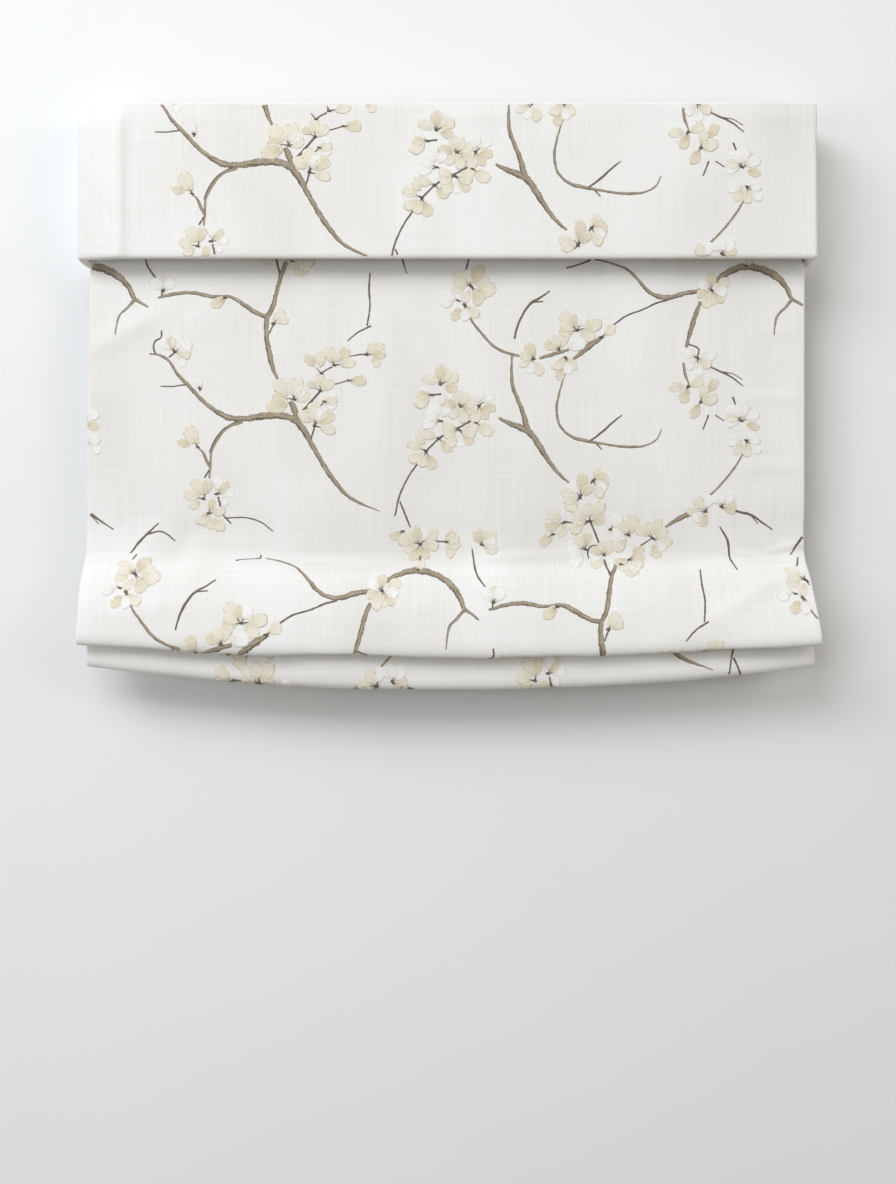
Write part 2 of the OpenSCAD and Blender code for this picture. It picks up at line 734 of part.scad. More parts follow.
panel_pattern = [
  [stitch_margin - panel_w / 2, stitch_margin],
  [panel_w / 2 - stitch_margin, flat_share * (row_middle - panel_drop) - stitch_margin]
];
valance_pattern = [
  [slant_w + stitch_margin + pattern_shift - valance_w / 2, pattern_rise + stitch_margin],
  [valance_w / 2 + pattern_shift - stitch_margin, pattern_rise + valance_h - stitch_margin]
];

module on_panel() {
  translate([0, cloth_y - face_t - seam_gap, z_at(panel_drop)]) rotate([90, 0, 0])
    linear_extrude(stitch_t) children();
}

module on_valance() {
  translate([-pattern_shift, cover_front_y - seam_gap, z_at(-pattern_rise)]) rotate([90, 0, 0])
    linear_extrude(stitch_t) children();
}

module panel_branches() {
  color(BRANCH) on_panel() branch_field(panel_pattern[0], panel_pattern[1]);
}

module panel_blossoms() {
  color(PETAL) on_panel() blossom_field(panel_pattern[0], panel_pattern[1]);
}

module valance_branches() {
  color(BRANCH) on_valance() branch_field(valance_pattern[0], valance_pattern[1]);
}

module valance_blossoms() {
  color(PETAL) on_valance() blossom_field(valance_pattern[0], valance_pattern[1]);
}

// Battens in their pockets, sewn to the back of the lining
pocket_y = loop_tape_front_y + seat_gap + pocket_d / 2;
module batten(row) {
  color(PLASTIC) along_x(-batten_w / 2, batten_w / 2) translate([pocket_y, z_at(row)]) circle(d = batten_d);
}

module pocket_outline(inset) {
  rounded([-pocket_d / 2 + inset, -pocket_h / 2 + inset], [pocket_d / 2 - inset, pocket_h / 2 - inset], pocket_d / 2 - inset - 0.01);
}

module batten_pocket(row) {
  wall = 0.6;
  color(LINING) along_x(-batten_w / 2, batten_w / 2) translate([pocket_y, z_at(row)]) difference() {
    pocket_outline(0);
    pocket_outline(wall);
  }
}

// Ribbon guides: small loops on the back of each pocket
guide_w = ribbon_w + 6;
guide_h = 6;
guide_front_y = pocket_y + pocket_d / 2;
guide_back_y = ribbon_y + ribbon_t / 2 + 3.4;
slot_half = 1.4;

module ribbon_guide(x, row) {
  difference() {
    block([x - guide_w / 2, guide_front_y, z_at(row) - guide_h / 2], [x + guide_w / 2, guide_back_y, z_at(row) + guide_h / 2]);
    block(
      [x - ribbon_w / 2 - 0.6, ribbon_y - slot_half, z_at(row) - guide_h],
      [x + ribbon_w / 2 + 0.6, ribbon_y + slot_half, z_at(row) + guide_h]
    );
  }
}

module ribbon_guides(row) {
  color(PLASTIC) for (x = columns) ribbon_guide(x, row);
}

// Anchors hold the ribbon ends in a blind slot
module ribbon_anchors() {
  color(PLASTIC) for (x = columns) difference() {
    block(
      [x - guide_w / 2, guide_front_y, z_at(row_bottom) - guide_h / 2],
      [x + guide_w / 2, guide_back_y, z_at(row_bottom) + guide_h / 2]
    );
    block(
      [x - ribbon_w / 2 - running_gap, ribbon_y - ribbon_t / 2 - running_gap, z_at(row_bottom) - guide_h / 2 + 2],
      [x + ribbon_w / 2 + running_gap, ribbon_y + ribbon_t / 2 + running_gap, z_at(row_bottom) + guide_h]
    );
  }
}

module lift_ribbons() {
  color(RIBBON) for (x = columns) block(
    [x - ribbon_w / 2, ribbon_y - ribbon_t / 2, z_at(row_bottom) - guide_h / 2 + 2 + running_gap],
    [x + ribbon_w / 2, ribbon_y + ribbon_t / 2, shaft_z]
  );
}

// Clips that keep the gathered rows together, one on each ribbon
module fold_clips() {
  clip_w = 8;
  clip_t = 1.6;
  hook = 3;
  top = z_at(row_middle) + guide_h / 2 + running_gap;
  bottom = z_at(row_bottom) - guide_h / 2 - running_gap;
  back = guide_back_y + running_gap;
  color(PLASTIC) for (x = columns) along_x(x - clip_w / 2, x + clip_w / 2) {
    translate([back, bottom - clip_t]) square([clip_t, top - bottom + 2 * clip_t]);
    for (z = [top, bottom - clip_t]) translate([back - hook, z]) square([hook + overlap, clip_t]);
  }
}

// Bottom bar, in the hem
bar_w = batten_w;
bar_cap_t = 2;
module bar_outline() {
  centre_y = cloth_y + 1;
  bottom = hem_drop - seat_gap;
  rounded([centre_y - bar_t / 2, z_at(bottom)], [centre_y + bar_t / 2, z_at(bottom - bar_h)], bar_t / 2 - 0.01);
}

module bottom_bar() {
  color(ALUMINIUM) along_x(-bar_w / 2, bar_w / 2) bar_outline();
}

module bottom_bar_cap(side) {
  x0 = side < 0 ? -bar_w / 2 - bar_cap_t : bar_w / 2;
  color(PLASTIC) along_x(x0, x0 + bar_cap_t) bar_outline();
}

wall_bracket(-1);  // wall_bracket_left
wall_bracket(1);  // wall_bracket_right
bracket_screws();
bracket_nuts();
headrail();
headrail_cap(-1);  // headrail_cap_left
headrail_cap(1);  // headrail_cap_right
spool_cradle(columns[0]);  // spool_cradle_left
spool_cradle(columns[1]);  // spool_cradle_centre
spool_cradle(columns[2]);  // spool_cradle_right
spool(columns[0]);  // spool_left
spool(columns[1]);  // spool_centre
spool(columns[2]);  // spool_right
ribbon_rolls();
lift_shaft();
spring_motor_case();
spring_motor_cover();
spring_motor_screws();
brake_case();
front_tape(rail_front_y);  // hook_tape
front_tape(rail_front_y - tape_t);  // loop_tape
valance_grip_tape();
valance_top_board();
valance_front_board();
valance_return(-1);  // valance_return_left
valance_return(1);  // valance_return_right
valance_cover();
valance_branches();
valance_blossoms();
face_cloth();
panel_branches();
panel_blossoms();
lining();
lift_ribbons();
batten(row_upper);  // batten_upper
batten_pocket(row_upper);  // batten_pocket_upper
ribbon_guides(row_upper);  // ribbon_guides_upper
batten(row_middle);  // batten_middle
batten_pocket(row_middle);  // batten_pocket_middle
ribbon_guides(row_middle);  // ribbon_guides_middle
batten(row_lower);  // batten_lower
batten_pocket(row_lower);  // batten_pocket_lower
ribbon_guides(row_lower);  // ribbon_guides_lower
batten(row_bottom);  // batten_bottom
batten_pocket(row_bottom);  // batten_pocket_bottom
ribbon_anchors();
fold_clips();
bottom_bar();
bottom_bar_cap(-1);  // bottom_bar_cap_left
bottom_bar_cap(1);  // bottom_bar_cap_right
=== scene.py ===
"""Roman blind with a boxed valance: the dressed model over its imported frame.

Everything is in the frame's own axes: X along the wall, Y into the wall, Z up. Shapes are worked out
in millimetres, as in the part's source, and turned to metres where a mesh is made.
"""

import json
import math

import bpy
import numpy as np
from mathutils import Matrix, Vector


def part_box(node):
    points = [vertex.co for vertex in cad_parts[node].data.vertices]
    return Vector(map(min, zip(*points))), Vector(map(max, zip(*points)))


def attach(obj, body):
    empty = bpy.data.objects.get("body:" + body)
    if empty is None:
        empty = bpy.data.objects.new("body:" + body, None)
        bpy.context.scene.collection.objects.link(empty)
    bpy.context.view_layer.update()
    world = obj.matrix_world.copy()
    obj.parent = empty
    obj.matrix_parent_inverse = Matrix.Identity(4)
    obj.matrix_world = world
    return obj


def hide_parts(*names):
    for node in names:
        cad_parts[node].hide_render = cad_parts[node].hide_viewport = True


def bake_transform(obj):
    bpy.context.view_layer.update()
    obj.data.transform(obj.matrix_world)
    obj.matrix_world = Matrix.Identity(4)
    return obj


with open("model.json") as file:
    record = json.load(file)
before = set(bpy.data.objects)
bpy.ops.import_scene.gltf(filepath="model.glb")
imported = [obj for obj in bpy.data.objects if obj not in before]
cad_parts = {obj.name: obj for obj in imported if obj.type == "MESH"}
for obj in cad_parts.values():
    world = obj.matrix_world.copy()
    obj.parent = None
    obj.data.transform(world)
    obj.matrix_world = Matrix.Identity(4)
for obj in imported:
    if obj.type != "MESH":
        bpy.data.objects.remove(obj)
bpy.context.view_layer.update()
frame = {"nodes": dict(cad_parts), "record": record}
nodes = frame["nodes"]
MM = 0.001

# Sizes repeated from the part's source, in millimetres
PANEL_W = 742
FACE_T = 1.2
LINING_T = 0.7
SEAM_GAP = 0.3
SEAT_GAP = 0.3
SIDE_HEM_W = 35
OUTER_REACH, OUTER_DROP, OUTER_SAG = 34, 81, 13
INNER_REACH, INNER_DROP, INNER_SAG = 22, 104, 24
FOLD_SPLAY = 10
STACK_PITCH = 14
CLOTH_Y = -47.0
TOP_Z = 74
PANEL_DROP = 9
ROW_MIDDLE = 474
ROW_LOWER = ROW_MIDDLE + STACK_PITCH
ROW_BOTTOM = ROW_LOWER + STACK_PITCH
HEM_DROP = ROW_MIDDLE + 92
TURN_R = 2.4
HEM_R = 4.5
HALF = PANEL_W / 2
TURN_POINTS = 5
OUTER_LIP, INNER_LIP = 10, 9

VALANCE_W = 756
VALANCE_H = 160
COVER_T = 1.5
BOARD_T = 3
COVER_FRONT_Y = -78.2
RETURN_BACK_Y = -1
SLANT_W, SLANT_D = 44, 10
COVER_TURN_W = 25


# General mesh helpers

def smooth_path(points, step):
    """Curve through points, sampled about every step. Returns the samples and each point's index."""
    p = np.asarray(points, float)
    ext = np.vstack([2 * p[0] - p[1], p, 2 * p[-1] - p[-2]])
    out, keys = [], []
    for i in range(len(p) - 1):
        p0, p1, p2, p3 = ext[i : i + 4]
        d1, d2, d3 = (max(np.linalg.norm((b - a)[:2]), 1e-6) for a, b in ((p0, p1), (p1, p2), (p2, p3)))
        m1 = ((p1 - p0) / d1 * d2 + (p2 - p1) / d2 * d1) / (d1 + d2) * d2
        m2 = ((p2 - p1) / d2 * d3 + (p3 - p2) / d3 * d2) / (d2 + d3) * d2
        n = max(1, math.ceil(d2 / step))
        t = np.arange(n)[:, None] / n
        keys.append(len(out))
        out.extend(
            (2 * t**3 - 3 * t**2 + 1) * p1
            + (t**3 - 2 * t**2 + t) * m1
            + (3 * t**2 - 2 * t**3) * p2
            + (t**3 - t**2) * m2
        )
    keys.append(len(out))
    out.append(p[-1])
    return np.array(out), keys


def smoothstep(a, b, x):
    t = np.clip((x - a) / (b - a), 0, 1)
    return t * t * (3 - 2 * t)


def make_object(name, verts, faces, uv, materials, face_material=None):
    """Mesh object from points in millimetres, with a UV map in metres of cloth."""
    mesh = bpy.data.meshes.new(name)
    mesh.from_pydata((np.asarray(verts) * MM).tolist(), [], [list(f) for f in faces])
    layer = mesh.uv_layers.new(name="Cloth")
    loops = np.empty(len(mesh.loops), dtype=np.int32)
    mesh.loops.foreach_get("vertex_index", loops)
    layer.uv.foreach_set("vector", np.asarray(uv, np.float32)[loops].ravel())
    for material in materials:
        mesh.materials.append(material)
    if face_material is not None:
        mesh.polygons.foreach_set("material_index", np.asarray(face_material, np.int32))
    mesh.shade_smooth()
    obj = bpy.data.objects.new(name, mesh)
    bpy.context.scene.collection.objects.link(obj)
    return obj


def grid_quads(index):
    a, b, c, d = index[:-1, :-1], index[:-1, 1:], index[1:, 1:], index[1:, :-1]
    return np.stack([a, d, c, b], -1).reshape(-1, 4)


def sheet_object(name, front, back, uv, materials):
    """Closed sheet between two grids of points, front and back, joined round its border."""
    rows, cols = front.shape[:2]
    count = rows * cols
    index = np.arange(count).reshape(rows, cols)
    quads = [grid_quads(index), grid_quads(index)[:, ::-1] + count]
    border = np.concatenate([index[0, :-1], index[:-1, -1], index[-1, :0:-1], index[:0:-1, 0]])
    after = np.roll(border, -1)
    quads.append(np.stack([border, after, after + count, border + count], -1))
    points = np.concatenate([front.reshape(-1, 3), back.reshape(-1, 3)])
    flat = np.concatenate([uv.reshape(-1, 2)] * 2)
    return make_object(name, points, np.concatenate(quads), flat, materials)


# Cloth of the panel

def outer_point(p):
    return [p[0] * OUTER_REACH, ROW_MIDDLE + p[1] * OUTER_DROP, p[2] * OUTER_SAG, p[3] * FOLD_SPLAY]


def inner_point(p):
    drop = ROW_LOWER + p[1] * (INNER_DROP - STACK_PITCH)
    return [p[0] * INNER_REACH, drop, p[2] * INNER_SAG, p[3] * FOLD_SPLAY]


def row_turn(row, first, last):
    angles = np.radians(np.linspace(first, last, TURN_POINTS))
    return [
        [TURN_R + 0.8 + TURN_R * math.cos(a), row + TURN_R + 1.2 + TURN_R * math.sin(a), 0, 0] for a in angles
    ]


OUTER_FOLD = [
    [0.06, -0.12, 0, 0.08], [0.175, 0, 0.02, 0.18], [0.35, 0.10, 0.08, 0.3], [0.53, 0.22, 0.20, 0.42],
    [0.69, 0.37, 0.38, 0.55], [0.825, 0.53, 0.56, 0.68], [0.925, 0.705, 0.75, 0.82], [0.985, 0.85, 0.90, 0.94],
    [0.99, 0.94, 0.96, 1], [0.95, 0.985, 1, 1], [0.88, 1, 1, 1], [0.81, 0.98, 1, 1],
    [0.765, 0.925, 0.97, 0.95], [0.705, 0.765, 0.82, 0.8], [0.63, 0.58, 0.60, 0.6], [0.545, 0.425, 0.40, 0.42],
    [0.425, 0.31, 0.22, 0.26],
]
INNER_FOLD = [
    [0.455, 0.134, 0.10, 0.03], [0.615, 0.238, 0.22, 0.06], [0.727, 0.384, 0.40, 0.1], [0.814, 0.558, 0.60, 0.16],
    [0.909, 0.733, 0.80, 0.22], [0.977, 0.86, 0.92, 0.27], [1, 0.93, 0.98, 0.3], [0.95, 0.983, 1, 0.3],
    [0.85, 1, 1, 0.3], [0.745, 0.985, 1, 0.3], [0.677, 0.93, 0.97, 0.28], [0.60, 0.767, 0.80, 0.22],
    [0.50, 0.581, 0.55, 0.15], [0.40, 0.419, 0.32, 0.08], [0.31, 0.302, 0.14, 0.03],
]
flat_run = [[0, PANEL_DROP + share * (ROW_MIDDLE - PANEL_DROP), 0, 0] for share in (0, 0.5, 0.85)]
flat_run.append([0.4, ROW_MIDDLE - 26, 0, 0])
outer_run = [outer_point(p) for p in OUTER_FOLD]
outer_run.append([9.5, ROW_LOWER + 4.5, 0.08 * OUTER_SAG, 0.12 * FOLD_SPLAY])
outer_run.append([5.5, ROW_LOWER + 1.6, 0, 0.05 * FOLD_SPLAY])
inner_run = [[5.5, ROW_LOWER + 7.2, 0.03 * INNER_SAG, 0]]
inner_run += [inner_point(p) for p in INNER_FOLD]
inner_run.append([5.6, ROW_BOTTOM + 6, 0.02 * INNER_SAG, 0])
skirt_run = [
    [1 + share * (HEM_R - 2), ROW_BOTTOM + share * (HEM_DROP - ROW_BOTTOM), 0, 0] for share in (0.35, 0.7)
]
hem_run = [
    [-1 + HEM_R * math.cos(a), HEM_DROP - HEM_R + HEM_R * math.sin(a), 0, 0]
    for a in np.radians(np.arange(0, 181, 30))
]
hem_run += [[-1 - HEM_R, HEM_DROP - 24, 0, 0], [-1 - HEM_R, HEM_DROP - 40, 0, 0]]
runs = [
    flat_run, outer_run, row_turn(ROW_LOWER, -70, -250), inner_run, row_turn(ROW_BOTTOM, -20, -190),
    skirt_run, hem_run,
]
profile, key_index = smooth_path(sum(runs, []), 0.8)
path_s = np.concatenate([[0], np.cumsum(np.linalg.norm(np.diff(profile[:, :2], axis=0), axis=1))])
tangent = np.gradient(profile[:, :2], path_s, axis=0)
tangent /= np.linalg.norm(tangent, axis=1)[:, None]
bend = np.abs(np.gradient(np.unwrap(np.arctan2(tangent[:, 0], tangent[:, 1])), path_s))
run_start = [path_s[key_index[sum(len(r) for r in runs[:k])]] for k in range(len(runs))]
S_OUTER, S_TURN_1, S_INNER, S_TURN_2, S_SKIRT, S_HEM = run_start[1:]
S_LIP_1 = path_s[key_index[len(flat_run) + OUTER_LIP]]
S_LIP_2 = path_s[key_index[len(flat_run) + len(outer_run) + TURN_POINTS + INNER_LIP]]
S_END = path_s[-1]


# Slow unevenness of hung linen: a fixed sum of waves
rng = np.random.default_rng(11)
WAVES = [
    (
        rng.uniform(0.6, 1.0) / k**0.8, math.tau / length * math.cos(a), math.tau / length * math.sin(a),
        rng.uniform(0, math.tau),
    )
    for k, length in enumerate((310, 240, 180, 140, 110, 85, 66, 50), 1)
    for a in rng.uniform(-0.9, 0.9, 2)
]


def unevenness(x, s):
    return sum(w * np.sin(fx * x + fs * s + phase) for w, fx, fs, phase in WAVES) / 2.5


def ridge(x, s, a, b, width, height):
    """Soft ridge along the line from a to b, fading at both ends."""
    d = np.subtract(b, a).astype(float)
    length = np.hypot(*d)
    d /= length
    along = (x - a[0]) * d[0] + (s - a[1]) * d[1]
    across = (s - a[1]) * d[0] - (x - a[0]) * d[1]
    ends = smoothstep(-0.25 * length, 0.25 * length, along) * (1 - smoothstep(0.75 * length, 1.25 * length, along))
    return height * ends * np.exp(-((across / width) ** 2))


# Creases of the panel: from, to, half width and height
CREASES = [
    ((-373, 246), (-292, 199), 11, 2.2), ((-300, 226), (-240, 205), 14, 0.8),
    ((-264, 426), (-281, 470), 12, -3.0), ((-306, 424), (-322, 474), 16, 1.8),
    ((305, 224), (371, 222), 5, 0.7), ((300, 293), (371, 291), 6, 0.8),
    ((290, 366), (371, 362), 6, 0.9), ((270, 520), (336, 486), 8, 2.6), ((330, 452), (371, 442), 4, 1.8),
    ((318, 450), (352, 474), 6, -1.8), ((300, 452), (335, 458), 4, 1.4), ((-150, 462), (-40, 470), 5, 1.1),
    ((40, 458), (150, 452), 5, 1.0), ((-330, 520), (-260, 505), 12, 1.5), ((-90, 520), (0, 506), 14, 1.2),
    ((90, 500), (180, 520), 12, 1.2), ((220, 540), (300, 520), 12, 1.4),
]


TUCK_DEPTH = 2.2
BELLY_OUT = 4.0
LEFT_FILL = 2.4


def wrinkle(x, s):
    """How far the cloth stands out from its smooth profile."""
    crease_s = np.interp(x, [-HALF, -230, -80, 0, 160, 285, HALF], [470, 477, 475, 468, 467, 458, 451])
    crisp = np.interp(x, [-HALF, -280, -200, -120, 330, HALF], [0.0, 0.1, 0.6, 1.0, 1.0, 0.6])
    tuck = -TUCK_DEPTH * crisp * np.exp(-np.abs(s - crease_s) / np.where(s < crease_s, 16, 9))
    fill = LEFT_FILL * np.exp(-(((s - crease_s + 10) / 20) ** 2)) * smoothstep(-150, -290, x)
    fade = np.interp(x, [-HALF, -230, -130], [150, 110, 62])
    belly = BELLY_OUT * smoothstep(0, 130, s) * (1 - smoothstep(-1, 0.06, (s - crease_s) / fade))
    on_panel = smoothstep(5, 90, s) * (1 - smoothstep(S_LIP_1 + 10, S_LIP_1 + 45, s))
    on_fold = smoothstep(S_OUTER, S_OUTER + 40, s) * (1 - smoothstep(S_LIP_1 + 4, S_LIP_1 + 30, s))
    on_inner = smoothstep(S_INNER + 15, S_INNER + 50, s) * (1 - smoothstep(S_LIP_2 + 2, S_LIP_2 + 20, s))
    slow = unevenness(x, s)
    out = belly + tuck + fill + 1.1 * slow * on_panel
    out = out + 1.1 * unevenness(1.7 * x + 90, s) * on_fold + 0.9 * slow * on_inner
    for a, b, width, height in CREASES:
        out = out + ridge(x, s, a, b, width, height) * on_panel
    return out


LEFT_FLARE = 5.0
RIGHT_FLARE = 10.0
INNER_FLARE = 4.0
INNER_HANG_BACK = 5.0
FLARE_S = 492


def sway(x, s):
    """How far the inner lip hangs back from the smooth profile, and the outer fold's right end stands out."""
    inner = smoothstep(S_LIP_2 - 45, S_LIP_2 - 2, s) * (1 - smoothstep(S_LIP_2 + 10, S_LIP_2 + 55, s))
    outer = smoothstep(FLARE_S, S_LIP_1, s) * (1 - smoothstep(S_LIP_1 + 8, S_LIP_1 + 50, s))
    back = INNER_HANG_BACK * inner * (1 - smoothstep(180, HALF, x))
    return back - RIGHT_FLARE * outer * smoothstep(200, HALF, x)


def cloth_at(x, s, height):
    """Point of the panel at x across and s down the cloth, a height over its seam with the lining."""
    x, s, height = np.broadcast_arrays(*(np.asarray(v, float) for v in (x, s, height)))
    reach, drop, sag, splay = (np.interp(s, path_s, profile[:, k]) for k in range(4))
    t_reach, t_drop = (np.interp(s, path_s, tangent[:, k]) for k in range(2))
    share = x / HALF
    on_left = smoothstep(60, 340, s) * (1 - smoothstep(ROW_MIDDLE, S_LIP_1, s))
    splay = splay + LEFT_FLARE * on_left * np.clip(-share, 0, 1)
    inner_end = smoothstep(S_INNER, S_LIP_2, s) * (1 - smoothstep(S_LIP_2 + 10, S_LIP_2 + 55, s))
    splay = splay + INNER_FLARE * inner_end * np.clip(share, 0, 1) ** 3
    lift = height + wrinkle(x, s)
    y = CLOTH_Y - reach - lift * t_drop + sway(x, s)
    z = TOP_Z - (drop - lift * t_reach + sag * (1 - share**2))
    return np.stack([x + share * splay, y, z], -1)


CREASE_STEP = 1.8
CREASE_ZONE = (436, 496)
TURN_STEP = 0.32


def path_rows(end, widest, finest):
    """Places down the cloth, closer together where it bends."""
    places = [0.0]
    while places[-1] < end - finest:
        k = np.interp(places[-1], path_s, bend)
        limit = CREASE_STEP if CREASE_ZONE[0] < places[-1] < CREASE_ZONE[1] else widest
        places.append(places[-1] + min(max(TURN_STEP / max(k, 1e-4), finest), limit))
    places[-1] = end
    return np.array(places)


def cloth_sheet(name, line, thickness, rows, materials):
    """Sheet swept down the cloth. The line is its section: distance across and height of its middle."""
    along = np.gradient(line, axis=0)
    along /= np.linalg.norm(along, axis=1)[:, None]
    normal = np.stack([-along[:, 1], along[:, 0]], -1) * thickness / 2
    faces = [
        cloth_at(edge[None, :, 0], rows[:, None], edge[None, :, 1]) for edge in (line + normal, line - normal)
    ]
    girth = np.concatenate([[0], np.cumsum(np.linalg.norm(np.diff(line, axis=0), axis=1))])
    u = np.broadcast_to(girth[None, :] - girth[-1] / 2, faces[0].shape[:2])
    v = np.broadcast_to(-rows[:, None], faces[0].shape[:2])
    return sheet_object(name, faces[0], faces[1], np.stack([u, v], -1) * MM, materials), girth[-1]


def face_section(columns):
    """Middle line of the face cloth across the panel: hem, turned edge, front, turned edge, hem."""
    front_h = FACE_T / 2
    hem_h = -(LINING_T + 2 * SEAM_GAP) - FACE_T / 2
    r = (front_h - hem_h) / 2
    edge = HALF - FACE_T / 2 - r
    hem = [(-x, hem_h) for x in np.linspace(HALF - SIDE_HEM_W, edge, 6)]
    turn = [(-edge - r * math.cos(a), hem_h + r + r * math.sin(a)) for a in np.radians((-60, -30, 0, 30, 60))]
    left = hem + turn
    front = [(x, front_h) for x in np.linspace(-edge, edge, columns)]
    return np.array(left + front + [(-x, h) for x, h in reversed(left)])


# Embroidery

